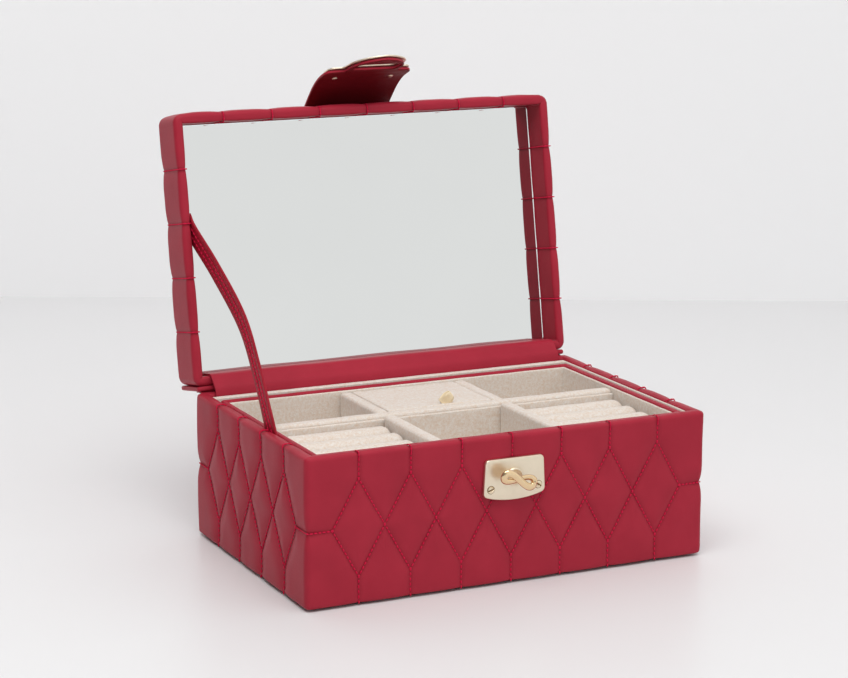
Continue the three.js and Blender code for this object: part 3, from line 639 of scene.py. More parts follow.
def silvered_glass(name, dark, light, scale, rough):
    # Silvered float glass: a clear reflection with a breath of green, uneven by a hair. The bevel
    # is a brighter copy of it, a painted highlight on the light it turns to the front; it looks
    # white.
    return two_tone(name, "ShaderNodeTexNoise", None, {"Scale": scale * PER_MM, "Detail": 2.0},
                    (linear(dark), linear(light)), {"Metallic": 1.0, "Roughness": rough})


def spun_thread(name, colour):
    # Spun polyester thread, dyed brighter than the leather. Its twist is drawn as darker diagonal
    # bands of colour: painted shade between the plies, which breaks up its gloss.
    return two_tone(name, "ShaderNodeTexWave", {"bands_direction": "DIAGONAL"},
                    {"Scale": 0.8 * PER_MM, "Distortion": 2.0}, (shaded(colour, 0.75), colour),
                    {"Roughness": 0.65, "Specular IOR Level": 0.2})


def woven_ribbon(name, dark, light):
    # Woven metallic ribbon: fine weft bars across a pale gold warp, satin.
    return two_tone(name, "ShaderNodeTexWave", {"bands_direction": "Z"},
                    {"Scale": 0.9 * PER_MM, "Distortion": 1.0}, (linear(dark), linear(light)),
                    {"Roughness": 0.42, "Metallic": 0.1}, (0.3, 0.1))


def pressed_board(name, pale, deep):
    # Pressed grey board: matt, with short darker fibres in the sheet.
    return two_tone(name, "ShaderNodeTexNoise", None, {"Scale": 0.5 * PER_MM, "Detail": 6.0},
                    (linear(pale), linear(deep)), {"Roughness": 0.9}, (0.3, 0.2))


def painted_board(name, colour, rough, gloss):
    # Painted studio board: even and pale, with a weak satin reflection.
    return two_tone(name, "ShaderNodeTexNoise", None, {"Scale": 1.5, "Detail": 2.0},
                    (shaded(linear(colour), 0.99), linear(colour)),
                    {"Roughness": rough, "Specular IOR Level": gloss})


def one_way(material):
    """Let the studio wall be looked through from behind, so the case shows from every side."""
    tree = material.node_tree
    shader = next(n for n in tree.nodes if n.type == "BSDF_PRINCIPLED")
    out = next(n for n in tree.nodes if n.type == "OUTPUT_MATERIAL")
    clear = add(tree, "ShaderNodeBsdfTransparent")
    back = add(tree, "ShaderNodeNewGeometry").outputs["Backfacing"]
    pick = add(tree, "ShaderNodeMixShader", links={0: back, 1: shader.outputs[0],
                                                   2: clear.outputs[0]})
    tree.links.new(pick.outputs[0], out.inputs["Surface"])
    return material


def make_finishes():
    """Make every finish once, from the colours in the settings."""
    c = bpy.context.scene.case_finish
    FINISH.update(
        leather=leather("crimson_coated_leather", tuple(c.leather), 0.37),
        strap=leather("dark_strap_leather", (c.leather[0] * 0.86, c.leather[1] * 0.4,
                                             c.leather[2] * 0.55, 1.0), 0.42),
        # The flap lining's dark colour is painted shade for the underside.
        lining=leather("flap_lining_painted_shade_leather", tuple(c.lining), 0.46),
        thread=spun_thread("crimson_polyester_thread", tuple(c.thread)),
        fabric=pile("cream_velveteen", tuple(c.fabric), linear("#D2BDA9"), 0.55),
        felt=pile("dark_base_felt", linear("#4A3430"), linear("#2A1C1A"), 0.5),
        metal=polished_metal("champagne_plated_zinc", tuple(c.metal), 0.33),
        screw=polished_metal("brass_plated_screw", linear("#EBDCBF"), 0.25),
        key=polished_metal("gold_plated_key", linear("#EED2A8"), 0.07),
        # A dark metal put in the gap round each screw head and in its slot: painted shade.
        recess=polished_metal("tarnished_brass_recess", linear("#8A6A42"), 0.5),
        mirror=silvered_glass("silvered_mirror_glass", "#DDDFDE", "#E0E2E1", 0.02, 0.012),
        # The bevel is a brighter copy of the mirror glass: a painted highlight along its edge.
        bevel=silvered_glass("bevelled_mirror_edge_painted_highlight", "#E4EAEA", "#FBFDFD", 2.0, 0.06),
        ribbon=woven_ribbon("gold_woven_ribbon", "#EBCF98", "#FFF6E0"),
        card=pressed_board("grey_pressed_board", "#8C8579", "#6F685D"),
    )


# ---------------------------------------------------------------- covers

def painted_seam_shade(distance):
    """How much painted shade the leather gets from its nearness to a seam."""
    return np.exp(-(distance / PAINTED_SEAM_SHADE_REACH) ** 2) * PAINTED_SEAM_SHADE


def keep_painted_seam_shade(obj, shape, near):
    """Give each point of a cover its painted seam shade, carried over the merge of close points."""
    tree = KDTree(len(shape))
    for i, p in enumerate(shape):
        tree.insert(Vector(p), i)
    tree.balance()
    # The seam attribute holds painted shade, which darkens the leather's colour along the seams.
    layer = obj.data.attributes.new("seam", "FLOAT", "POINT")
    layer.data.foreach_set("value", np.array(
        [near[tree.find(v.co / MM)[1]] for v in obj.data.vertices], np.float32))


def thread_level(q):
    """How far the thread lies above the plane of the pads, down in its seam."""
    return q.crown - q.pad_depth - q.groove + q.thread * 0.75


def plan(low, high):
    """Half the size and the middle of a box, looked at from above."""
    return (high - low)[:2] / 2, (high + low)[:2] / 2


def on_walls(long_seams, short_seams):
    """Each seam with the number of the wall it lies on: front, right, back, left."""
    return [(side, seam) for side in range(4) for seam in (long_seams, short_seams)[side % 2]]


def between(start, end, spacing):
    """Points on a straight line, about a spacing apart."""
    n = max(2, int(math.dist(start, end) / spacing))
    return [[s + (e - s) * k / n for s, e in zip(start, end)] for k in range(n + 1)]


class CASE_OT_body_cover(bpy.types.Operator):
    """Quilted leather over the four walls and the rim of the case"""
    bl_idname = "case.body_cover"
    bl_label = "Body cover"

    def execute(self, context):
        q = context.scene.case_quilting
        low, high = box_mm("body_cover")
        half, centre = plan(low, high)
        top, bottom = high[2] - RIM_PRESS, low[2]
        # From under the wall, up its outside, over the rim and down a little inside.
        path = fillet_path([(BODY_WALL, bottom, 0), (0, bottom, 1.6), (0, top, 2.3),
                            (BODY_WALL, top, 2.2), (BODY_WALL, top - 5.0, 0)], q.mesh_step)
        wall = Wall(centre, half, BODY_CORNER, path, q.mesh_step)
        upright = int(np.argmax(path[:, 0] < 1e-6))
        wall.run += path[upright, 1] - wall.run[upright]
        # The uprights run on under the foot and over the rim.
        long_seams, short_seams = (
            diamond_seams(half[k], count, bottom - 9, top + 20, DIAMOND_MID_Z, DIAMOND_HALF_H)
            for k, count in enumerate((FRONT_DIAMONDS, SIDE_DIAMONDS)))

        def distance(p, t, side):
            """From one turn of points to their nearest seam; a corner takes both walls'."""
            u, v = p[:, 0] - centre[0], p[:, 1] - centre[1]
            t = np.full(len(p), t)
            far_u, far_v = seam_distance(u, t, long_seams), seam_distance(v, t, short_seams)
            return np.where((side == 0) | (side == 2), far_u,
                            np.where(side < 0, np.minimum(far_u, far_v), far_v))

        def height(p, t, side):
            """Rise of one turn of points: pads, puckers, creases and a little chance."""
            d = distance(p, t, side)
            strength = float(np.interp(t, [top - 6, top + 1, top + 8], [1.0, 0.55, 0.25]))
            strength *= float(np.interp(t, [bottom, bottom + 4], [0.3, 1.0]))
            # The thread gathers the leather into faint puckers beside each seam.
            pucker = 0.10 * np.sin((p[:, 0] + p[:, 1] + 1.3 * t) * 1.25) * np.exp(-d / 2.2)
            # The wrapped edge shows as a shallow crease along the outer third of the rim.
            crease = 0.28 * math.exp(-((t - top - 0.4) / 0.55) ** 2)
            # On the two side walls the seams are sewn in a little deeper.
            deeper = 0.35 * strength * np.exp(-(d / 4.0) ** 2) * (np.abs(p[:, 0]) > half[0] - 6)
            return pad_rise(d, q, strength) - deeper + strength * (
                pucker + 0.22 * wander(p, 17.0)) - crease

        rows = wall.surface(height)
        obj = piece("body_quilted_cover", [wrapped(rows)],
                    [FINISH["leather"]], "body", ["body_cover"])
        keep_painted_seam_shade(obj, rows.reshape(-1, 3), wall.shade(distance))

        lines = []
        depth = thread_level(q)

        def lift(t):
            """How far the thread lies above the plane at a place up the profile."""
            return float(np.interp(t, [bottom, bottom + 4, top - 6, top + 0.5, top + 8],
                                   [0.1, depth, depth, 0.15, 0.2]))
        seams = on_walls(long_seams, short_seams)
        for side, ((u0, t0), (u1, t1)) in seams:
            if abs(t0 - t1) < 1e-6:
                continue
            t1 = min(max(t1, bottom + 0.5), top + 6.5)
            lines.append([wall.at(side, u, t, lift(t))
                          for u, t in between((u0, t0), (u1, t1), 1.5)])
        # The level link between the last diamonds, carried round each corner.
        a = half[0] * FRONT_DIAMONDS / (FRONT_DIAMONDS + 1)
        b = half[1] * SIDE_DIAMONDS / (SIDE_DIAMONDS + 1)
        flat, bend = half - BODY_CORNER, BODY_CORNER + depth
        for sx in (-1, 1):
            for sy in (-1, 1):
                corner = [(flat[0] + bend * math.sin(k), flat[1] + bend * math.cos(k))
                          for k in np.linspace(0, math.pi / 2, 7)]
                run = [(a, half[1] + depth)] + corner + [(half[0] + depth, b)]
                lines.append([(centre[0] + sx * x, centre[1] + sy * y, DIAMOND_MID_Z)
                              for x, y in run])
        sew("body_stitches", lines, 11, "body")
        # Over the rim the thread is doubled and stands proud of the wrapped edge.
        cords = [[wall.at(side, u, t, float(np.interp(t, [top - 3, top, top + 3, top + 6],
                                                      [depth * 0.6, 0.35, 0.2, 0.1])))
                  for t in np.arange(top - 3, top + 6.4, 0.6)]
                 for side, ((u, _), (u1, t1)) in seams if u == u1 and t1 > top]
        sew("body_rim_stitches", cords, 16, "body", 0.62, 0.6, 0.8)
        return {"FINISHED"}


class CASE_OT_lid_cover(bpy.types.Operator):
    """Quilted leather over the lid: inner wall, rim, outer wall and top"""
    bl_idname = "case.lid_cover"
    bl_label = "Lid cover"

    def execute(self, context):
        q = context.scene.case_quilting
        half_x = box_mm("lid_cover")[1][0]
        centre = np.array([0.0, (LID_FRONT_Y + LID_BACK_Y) / 2])
        half = np.array([half_x, (LID_BACK_Y - LID_FRONT_Y) / 2])
        top, corner = LID_TOP_Z, LID_CORNER
        mirror_z = LID_RIM_Z + LID_RECESS
        rim_z = LID_RIM_Z + RIM_PRESS
        # From the mirror down the inside, over the rim and up the outside to the top.
        path = fillet_path([(LID_WALL, mirror_z + 0.25, 0), (LID_WALL, rim_z, 1.4),
                            (0, rim_z, 2.3), (0, top, corner), (corner + 0.01, top, 0)],
                           q.mesh_step)
        wall = Wall(centre, half, corner, path, q.mesh_step)
        rim = int(np.argmin(path[:, 1]))
        wall.run -= wall.run[rim]
        long_seams, short_seams = (
            upright_seams(half[k], count, wall.run[0] - 5, wall.run[-1] + 5)
            for k, count in enumerate((FRONT_DIAMONDS, SIDE_DIAMONDS)))

        def distance(p, t, side):
            """From one turn of points to their nearest seam; the corners have none."""
            u, v = p[:, 0], p[:, 1] - centre[1]
            t = np.full(len(p), t)
            return np.where((side == 0) | (side == 2), seam_distance(u, t, long_seams),
                            np.where(side < 0, FAR, seam_distance(v, t, short_seams)))

        def strength_at(t):
            """How full the pads are: flatter on the inner wall, fuller up the outside."""
            return float(np.interp(t, [-14, -5, 0, 5, 11, wall.run[-1]],
                                   [0.2, 0.35, 0.45, 0.55, 0.65, 0.9]))

        def height(p, t, side):
            """Rise of one turn of points: pads, flatter towards the corners."""
            d = distance(p, t, side)
            s = strength_at(t)
            to_corner = (np.minimum(half[0] - np.abs(p[:, 0]), 9)
                         + np.minimum(half[1] - np.abs(p[:, 1] - centre[1]), 9))
            tight = np.interp(to_corner, [0, 9], [0.5, 1.0])
            # The front wall is a little fuller between its edges.
            full = 1.3 * np.sin(math.pi * np.clip(t / 30.0, 0, 1)) * np.where(
                side == 0, np.clip((half[0] - np.abs(p[:, 0])) / 16.0, 0, 1), 0.0)
            return full + (pad_rise(d, q, s) + s * 0.18 * wander(p, 15.0, 2.0)) * np.where(
                side < 0, 0.4, tight)

        rows = wall.surface(height)
        cols = rows.shape[1]
        faces = grid_faces(len(rows), cols)
        faces.append(tuple(range(cols)))
        shape = [rows.reshape(-1, 3)]
        near = [wall.shade(distance)]

        # The top: a lattice of diamonds whose tips meet the seams that come over the edges.
        nx, ny, _ = wall.counts
        inner = half - corner - 0.01
        gx = centre[0] + np.linspace(-1, 1, nx + 1) * inner[0]
        gy = centre[1] + np.linspace(-1, 1, ny + 1) * inner[1]
        mx, my = np.meshgrid(gx, gy, indexing="ij")
        px, py = 2 * half[0] / (FRONT_DIAMONDS + 1), 2 * half[1] / (SIDE_DIAMONDS + 1)
        lattice = []
        for k in range(FRONT_DIAMONDS):
            for m in range(SIDE_DIAMONDS):
                u, v = (k - (FRONT_DIAMONDS - 1) / 2) * px, (m - (SIDE_DIAMONDS - 1) / 2) * py
                for s in (-1, 1):
                    for r in (-1, 1):
                        lattice.append(((u + s * px / 2, v), (u, v + r * py / 2)))
            for r in (-1, 1):
                lattice.append(((u, r * SIDE_DIAMONDS / 2 * py), (u, r * (half[1] - corner))))
        for m in range(SIDE_DIAMONDS):
            v = (m - (SIDE_DIAMONDS - 1) / 2) * py
            for s in (-1, 1):
                lattice.append(((s * FRONT_DIAMONDS / 2 * px, v), (s * (half[0] - corner), v)))
        d = seam_distance(mx, my - centre[1], lattice)
        flat = np.stack([mx, my, np.full(mx.shape, top)], -1)
        edge = np.minimum(inner[0] - np.abs(mx), inner[1] - np.abs(my - centre[1]))
        blend = np.clip(edge / 3.0, 0, 1)
        rise = pad_rise(d, q, 1.0) + 0.2 * wander(flat, 19.0, 5.0)
        # Along its border the top takes the height of the wall's last row.
        last = {tuple(np.round(p[:2], 2)): r[2] - top
                for p, r in zip(wall.ring(*path[-1]), rows[-1])}
        border = np.array([[last.get((round(float(x), 2), round(float(y), 2)), 0.0) for y in gy]
                           for x in gx])
        rise = rise * blend
        rise[0, :], rise[-1, :] = border[0, :], border[-1, :]
        rise[:, 0], rise[:, -1] = border[:, 0], border[:, -1]
        flat[..., 2] += rise
        faces += patch_faces(nx + 1, ny + 1, len(shape[0]))
        shape.append(flat.reshape(-1, 3))
        near.append(painted_seam_shade(d).ravel())
        shape = open_lid(np.concatenate(shape))
        obj = piece("lid_quilted_cover", [(shape, faces, 0)], [FINISH["leather"]],
                    "lid", ["lid_cover"])
        keep_painted_seam_shade(obj, shape, np.concatenate(near))

        depth = thread_level(q)
        lines = []
        seams = on_walls(long_seams, short_seams)
        for side, ((u, _), _) in seams:
            line = []
            for t in np.arange(wall.run[0] + 1.5, wall.run[-1], 0.8):
                s = strength_at(t)
                lift = depth * s if t > 6 else float(np.interp(t, [-20, -6, 0, 6],
                                                               [0.15, 0.35, 0.3, depth * s]))
                line.append(wall.at(side, u, t, lift))
            lines.append(open_lid(line))
        for start, end in lattice:
            lines.append(open_lid([(u, centre[1] + v, top + depth)
                                   for u, v in between(start, end, 2)]))
        sew("lid_stitches", lines, 12, "lid")
        # Over the rim the thread is doubled, and its loops stand off the outer edge.
        cords = [open_lid([wall.at(side, u, t, float(np.interp(
            t, [-8, -3, 0, 3.5, 7, 11], [0.05, 0.1, 0.15, 0.5, 0.35, -0.3])))
            for t in np.arange(-8, 11, 0.6)]) for side, ((u, _), _) in seams]
        sew("lid_rim_stitches", cords, 17, "lid", 0.62, 0.6, 0.72)
        return {"FINISHED"}


# ---------------------------------------------------------------- fabric and leather blocks

def fabric_block(node, body, radius, step, uneven, seed, lower=0.0):
    """A rounded block of fabric in a CAD node's place, its top lowered a little if asked."""
    low, high = box_mm(node)
    high[2] -= lower
    piece(node + "_fabric", [(*soft_block(low, high, radius, step, uneven, seed), 0)],
          [FINISH["fabric"]], body, [node])


class CASE_OT_linings(bpy.types.Operator):
    """Fabric linings of the case, its tray rests and the pad under it"""
    bl_idname = "case.linings"
    bl_label = "Linings and base"

    def execute(self, context):
        for seed, node in enumerate(("liner_front", "liner_back", "liner_left", "liner_right",
                                     "floor_lining", "tray_rest_left", "tray_rest_right")):
            # The strap's end is glued over the left liner and holds its top edge down.
            lower = 1.2 if node == "liner_left" else 0.0
            fabric_block(node, "body", 0.8, 5.0, 0.06, seed, lower)
        low, high = box_mm("base_pad")
        piece("base_felt", [(*soft_block(low, high, 0.7, 8.0, 0.05, 9.0), 0)],
              [FINISH["felt"]], "body", ["base_pad"])
        return {"FINISHED"}


class CASE_OT_tray(bpy.types.Operator):
    """The lift-out tray: leather rim, fabric lining, dividers and bed"""
    bl_idname = "case.tray"
    bl_label = "Tray"

    def execute(self, context):
        boxes = [box_mm("tray_wall_" + s) for s in ("front", "back", "left", "right")]
        low = np.min([b[0] for b in boxes], axis=0)
        high = np.max([b[1] for b in boxes], axis=0)
        half, centre = plan(low, high)
        wall_t = boxes[0][1][1] - boxes[0][0][1]
        path = fillet_path([(wall_t, low[2], 0), (0, low[2], 0.8), (0, high[2], 1.5),
                            (wall_t, high[2], 1.5), (wall_t, high[2] - 3.0, 0)], 1.5)
        wall = Wall(centre, half, 2.0, path, 3.0)
        rows = wall.surface(lambda p, t, side: 0.10 * wander(p, 12.0, 3.0))
        piece("tray_leather_wall", [wrapped(rows)], [FINISH["leather"]], "tray",
              ["tray_wall_front", "tray_wall_back", "tray_wall_left", "tray_wall_right"])
        l_low, l_high = box_mm("tray_lining")
        l_half, l_centre = plan(l_low, l_high)
        thick = l_half[0] - box_mm("divider_long")[1][0]
        bed = l_low[2] + thick
        path = fillet_path([(0, l_low[2] + 0.2, 0), (0, l_high[2], 0.5), (thick, l_high[2], 0.7),
                            (thick, bed, 0), (thick, l_low[2] + 0.2, 0)], 2.0)
        ring = Wall(l_centre, l_half, 1.0, path, 4.0)
        rows = ring.surface(lambda p, t, side: 0.10 * wander(p, 7.0, 4.0))
        floor = soft_block((l_low[0] + thick, l_low[1] + thick, l_low[2]),
                           (l_high[0] - thick, l_high[1] - thick, bed), 0.5, 5.0, 0.1, 5.0)
        piece("tray_fabric_lining", [wrapped(rows), (*floor, 0)],
              [FINISH["fabric"]], "tray", ["tray_lining"])
        for seed, node in enumerate(("divider_long", "divider_back_left", "divider_back_right",
                                     "divider_front_left", "divider_front_right",
                                     "front_row_lining")):
            fabric_block(node, "tray", 1.9, 3.0, 0.16, 10 + seed)
        return {"FINISHED"}


class CASE_OT_ring_rolls(bpy.types.Operator):
    """Padded ring rolls, four in each front corner of the tray"""
    bl_idname = "case.ring_rolls"
    bl_label = "Ring rolls"

    def execute(self, context):
        for side in ("left", "right"):
            for number in range(1, 5):
                node = f"ring_roll_{side}_{number}"
                low, high = box_mm(node)
                centre, half = (low + high) / 2, (high - low) / 2
                length = 2 * half[0]
                # The gathers of each end lie in its first 3 mm, where the roll pulls in.
                gather = np.array([0, 0.25, 0.8, 1.7, 3.0])
                xs = np.concatenate([gather, np.linspace(5, length - 5, 24),
                                     length - gather[::-1]])
                angles = np.linspace(0, 2 * math.pi, 33)[:-1]
                across = np.sign(np.cos(angles)) * np.abs(np.cos(angles)) ** 0.86
                up = np.sign(np.sin(angles)) * np.abs(np.sin(angles)) ** 0.94
                rows = []
                for x in xs:
                    end = min(x, length - x)
                    pull = min(1.0, 0.80 + 0.20 * math.sqrt(min(1.0, end / gather[-1])))
                    ring = np.column_stack([np.full(32, low[0] + x),
                                            centre[1] + across * half[1] * pull,
                                            centre[2] + up * half[2] * pull])
                    bump = 0.16 * wander(ring, 8.0, number + (7 if side == "left" else 0))
                    ring += unit(ring - [low[0] + x, centre[1], centre[2]]) * bump[:, None]
                    rows.append(ring)
                faces = grid_faces(len(rows), 32) + end_caps(len(rows), 32)
                obj = piece(f"{node}_fabric", [(np.concatenate(rows), faces, 0)],
                            [FINISH["fabric"]], "tray", [node])
        return {"FINISHED"}


class CASE_OT_small_lid(bpy.types.Operator):
    """Fabric lid of the middle compartment, its ribbon pull and loose fibres"""
    bl_idname = "case.small_lid"
    bl_label = "Small lid and pull"

    def execute(self, context):
        low, high = box_mm("small_lid")
        fabric_block("small_lid", "small_lid", 1.1, 2.5, 0.14, 31.0)
        # The fibres that the cut edge of the fabric leaves along the back of the lid.
        edge = [(x, high[1] - 3.4 + 0.3 * math.sin(x), high[2] + 0.1)
                for x in np.linspace(low[0] + 2, high[0] - 2, 40)]
        fibres = grown("small_lid_fibres", [edge], fibre_tree(), {
            "Length": 2.6 * MM, "Thickness": 0.07 * MM, "Count": 70, "Seed": 5,
            "Finish": FINISH["fabric"]})
        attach(fibres, "small_lid")
        # A ribbon folded in half: both layers lean over together and open a little at the fold.
        low, high = box_mm("pull_tab")
        base = np.array([low[0] + 2.6, (low[1] + high[1]) / 2, low[2] - 0.1])
        lean, flat = np.array([0.76, -0.05, 0.65]), np.array([0.65, 0.0, -0.76])
        out = np.array([0.0, 1.0, 0.05])
        way = [(-0.3, -0.25), (1.4, -0.5), (3.6, -1.1), (6.0, -1.2), (7.6, -0.6), (8.0, 0.1),
               (7.5, 0.85), (5.8, 1.2), (3.6, 1.0), (1.4, 0.4), (-0.3, 0.25)]
        line = smooth_path([base + lean * a + out * b for a, b in way], 40)
        share = np.linspace(0, 1, 40)
        narrow = 3.4 + 0.5 * np.sin(math.pi * share * 2) ** 2 - 0.5 * np.exp(
            -((share - 0.5) / 0.09) ** 2)
        rows, tangent = [], np.gradient(line, axis=0)
        for p, t, w, k in zip(line, tangent, narrow, share):
            side = unit(flat + out * 0.25 * math.sin(3 * k))
            n = np.cross(unit(t), side)
            rows.append([p + side * w * a + n * b for a, b in
                         [(-1, -0.14), (-0.5, -0.2), (0, -0.22), (0.5, -0.2), (1, -0.14),
                          (1, 0.14), (0.5, 0.2), (0, 0.22), (-0.5, 0.2), (-1, 0.14)]])
        points = np.array(rows).reshape(-1, 3)
        faces = grid_faces(40, 10) + end_caps(40, 10)
        piece("pull_ribbon", [(points, faces, 0)], [FINISH["ribbon"]], "small_lid",
              ["pull_tab"])
        return {"FINISHED"}


# ---------------------------------------------------------------- paths, ribbons and tubes

def smooth_path(points, count):
    """Evenly spaced points on a smooth curve through the given ones."""
    p = np.array(points, float)
    p = np.vstack([2 * p[0] - p[1], p, 2 * p[-1] - p[-2]])
    out = []
    for i in range(1, len(p) - 2):
        for t in np.linspace(0, 1, 16, endpoint=False):
            a, b, c, d = p[i - 1:i + 3]
            out.append(0.5 * (2 * b + (c - a) * t + (2 * a - 5 * b + 4 * c - d) * t * t +
                              (3 * b - a - 3 * c + d) * t ** 3))
    out.append(p[-2])
    out = np.array(out)
    run = run_along(out)
    even = np.linspace(0, run[-1], count)
    return np.column_stack([np.interp(even, run, out[:, k]) for k in range(out.shape[1])])


def strip(path, across, section):
    """Carry a closed section, (width place, thickness place) pairs, along a path."""
    normal = unit(np.cross(np.gradient(path, axis=0), across))
    rows = np.array([[p + w * a + n * b for a, b in section]
                     for p, w, n in zip(path, across, normal)])
    cols = rows.shape[1]
    return rows.reshape(-1, 3), grid_faces(len(rows), cols) + end_caps(len(rows), cols)


def tube(path, radii, sides):
    """An oval bar round a closed path; radii are its half width across and its half depth."""
    count = len(path)
    ahead = unit(np.roll(path, -1, 0) - np.roll(path, 1, 0))
    normal = np.cross(ahead[0], [0.3, 0.1, 1.0])
    rows, frames = [], []
    for direction in ahead:
        normal = unit(normal - direction * (normal @ direction))
        frames.append(normal)
    last = unit(normal - ahead[0] * (normal @ ahead[0]))
    drift = math.atan2(np.cross(frames[0], last) @ ahead[0], frames[0] @ last)
    for i in range(count):
        n, b = frames[i], np.cross(ahead[i], frames[i])
        angle = np.linspace(0, 2 * math.pi, sides, endpoint=False) - drift * i / count
        rows.append(path[i] + np.outer(np.cos(angle), n) * radii[0]
                    + np.outer(np.sin(angle), b) * radii[1])
    return np.concatenate(rows), grid_faces(count, sides, True)


def lathe(profile, centre, axis, sides=40):
    """Turn (radius, height) pairs round an axis from a centre."""
    axis = np.array(axis, float)
    a = unit(np.cross(axis, [0.2, 0.9, 0.4]))
    b = np.cross(axis, a)
    angle = np.linspace(0, 2 * math.pi, sides, endpoint=False)
    turn = np.outer(np.cos(angle), a) + np.outer(np.sin(angle), b)
    rows = [np.array(centre) + axis * h + r * turn for r, h in profile]
    return np.concatenate(rows), grid_faces(len(rows), sides) + end_caps(len(rows), sides)


def plate(outline, thick, bevel, holes=(), slices=()):
    """A flat plate with eased edges: points (along x, along y, height) in mm, and faces."""
    curve = bpy.data.curves.new("outline", "CURVE")
    curve.dimensions, curve.fill_mode = "2D", "BOTH"
    curve.extrude, curve.bevel_depth = thick / 2 - bevel, bevel
    curve.bevel_resolution, curve.offset = 2, -bevel
    for loop in (outline, *holes):
        spline = curve.splines.new("POLY")
        spline.points.add(len(loop) - 1)
        spline.points.foreach_set("co", [c for x, y in loop for c in (x, y, 0.0, 1.0)])
        spline.use_cyclic_u = True
    obj = bpy.data.objects.new("outline", curve)
    bpy.context.scene.collection.objects.link(obj)
    graph = bpy.context.evaluated_depsgraph_get()
    mesh = bpy.data.meshes.new_from_object(obj.evaluated_get(graph))
    bpy.data.objects.remove(obj)
    b = bmesh.new()
    b.from_mesh(mesh)
    bmesh.ops.remove_doubles(b, verts=b.verts, dist=1e-3)
    for y in slices:
        bmesh.ops.bisect_plane(b, geom=b.verts[:] + b.edges[:] + b.faces[:], dist=1e-4,
                               plane_co=(0, y, 0), plane_no=(0, 1, 0))
    bmesh.ops.triangulate(b, faces=b.faces[:])
    b.verts.index_update()
    points = np.array([v.co[:] for v in b.verts])
    faces = [tuple(v.index for v in f.verts) for f in b.faces]
    b.free()
    bpy.data.meshes.remove(mesh)
    return points, faces


def round_corners(corners, count=7):
    """An outline through (x, y, radius) corners with each corner rounded."""
    out = []
    n = len(corners)
    for i in range(n):
        c = np.array(corners[i][:2], float)
        r = corners[i][2]
        a = np.array(corners[i - 1][:2], float) - c
        b = np.array(corners[(i + 1) % n][:2], float) - c
        la, lb = np.linalg.norm(a), np.linalg.norm(b)
        a, b = a / la, b / lb
        if r <= 0:
            out.append(tuple(c))
            continue
        half = math.acos(max(-1, min(1, float(a @ b)))) / 2
        back = min(r / math.tan(half), 0.49 * la, 0.49 * lb)
        p, e = c + a * back, c + b * back
        for t in np.linspace(0, 1, count):
            # a rational curve that is a true arc between the two tangent points
            w = math.sin(half)
            k = (1 - t) ** 2 + 2 * w * t * (1 - t) + t * t
            out.append(tuple(((1 - t) ** 2 * p + 2 * w * t * (1 - t) * c + t * t * e) / k))
    return out


# ---------------------------------------------------------------- hinge, strap, mirror

# The gusset's middle line with the lid open, from the mirror's lower edge down behind the
# liner: y and z, mm.
GUSSET_LINE = [(101.7, 94.7), (94.05, 96.2), (85.7, 97.7), (82.8, 96.3), (79.55, 93.3),
               (76.85, 90.7), (75.75, 87.0), (75.75, 83.2)]
# The strap's middle line with the lid open, from the side of the tray up to the lid: x, y, z, mm.
STRAP_LINE = [(-119.5, -20, 81.2), (-119.5, -16, 87.2), (-119.3, -10, 95.2), (-115.5, 13, 113.2),
              (-111.5, 46, 137.2), (-114.7, 80, 162.2), (-119.8, 103.1, 181.0),
              (-120.4, 111.1, 188.0)]


class CASE_OT_hinge(bpy.types.Operator):
    """The inner gusset and the outer fold that join the lid to the case, and the spine"""
    bl_idname = "case.hinge"
    bl_label = "Hinge leather"

    def execute(self, context):
        half_x = box_mm("hinge_gusset")[1][0]
        line = smooth_path([(0, y, z) for y, z in GUSSET_LINE], 30)
        self.sheet("hinge_gusset_leather", line, half_x, 1.2, 0.40, "hinge_gusset",
                   (0, 0.0758, 0.0835), (0, 0.0940, 0.0962))
        low, high = box_mm("spine_fold")
        # Down the outside of the case's back, then up the back of the open lid.
        on_lid, on_body = HINGE_Y + 0.4, HINGE_Y + 0.7
        rise = open_lid([(0, on_lid, LID_RIM_Z), (0, on_lid, LID_RIM_Z + 8.0)])
        line = smooth_path([(0, on_body, low[2] + 0.1), (0, on_body, 83.0), (0, on_body, 86.6),
                            tuple(rise[0] + (rise[1] - rise[0]) * 0.35), tuple(rise[1])], 24)
        inside = np.clip(line, low + [0, 0.4, 0.4], high - [0, 0.4, 0.4])
        self.sheet("spine_fold_leather", np.column_stack([line[:, 0], inside[:, 1], inside[:, 2]]),
                   high[0], 0.8, 0.15, "spine_fold", (0, 0.0840, 0.0850), (0, 0.0880, 0.0880))
        p, faces = soft_block((-125.5, LID_BACK_Y + 0.3, LID_RIM_Z),
                              (125.5, HINGE_Y, LID_TOP_Z - 1.5), 1.2, 4.0, 0.15, 40.0)
        piece("spine_leather", [(open_lid(p), faces, 0)], [FINISH["leather"]], "lid",
              ["spine_panel"])
        return {"FINISHED"}

    @staticmethod
    def sheet(name, line, half_x, thick, uneven, node, start, end):
        """A leather sheet along a line in the y-z plane, wide in x, gently uneven."""
        xs = np.linspace(-half_x, half_x, 118)
        t = np.gradient(line, axis=0)
        n = unit(np.column_stack([np.zeros(len(t)), t[:, 2], -t[:, 1]]))
        p = line[:, None, :] + np.zeros((1, len(xs), 3))
        p[..., 0] = xs[None, :]
        ends = np.sin(np.linspace(0, math.pi, len(line)))[:, None]
        bump = uneven * ends * wander(p * [0.35, 1, 1], 9.0, 6.0)
        front, back = (p + n[:, None, :] * (bump + face * thick / 2)[..., None]
                       for face in (1, -1))
        rows, cols = len(line), len(xs)
        loop = np.concatenate([front, back[:, ::-1]], axis=1)
        faces = grid_faces(rows, 2 * cols) + end_caps(rows, 2 * cols)
        obj = piece(name, [(loop.reshape(-1, 3), faces, 0)], [FINISH["leather"]], None,
                    [node], angle=50)
        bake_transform(obj)


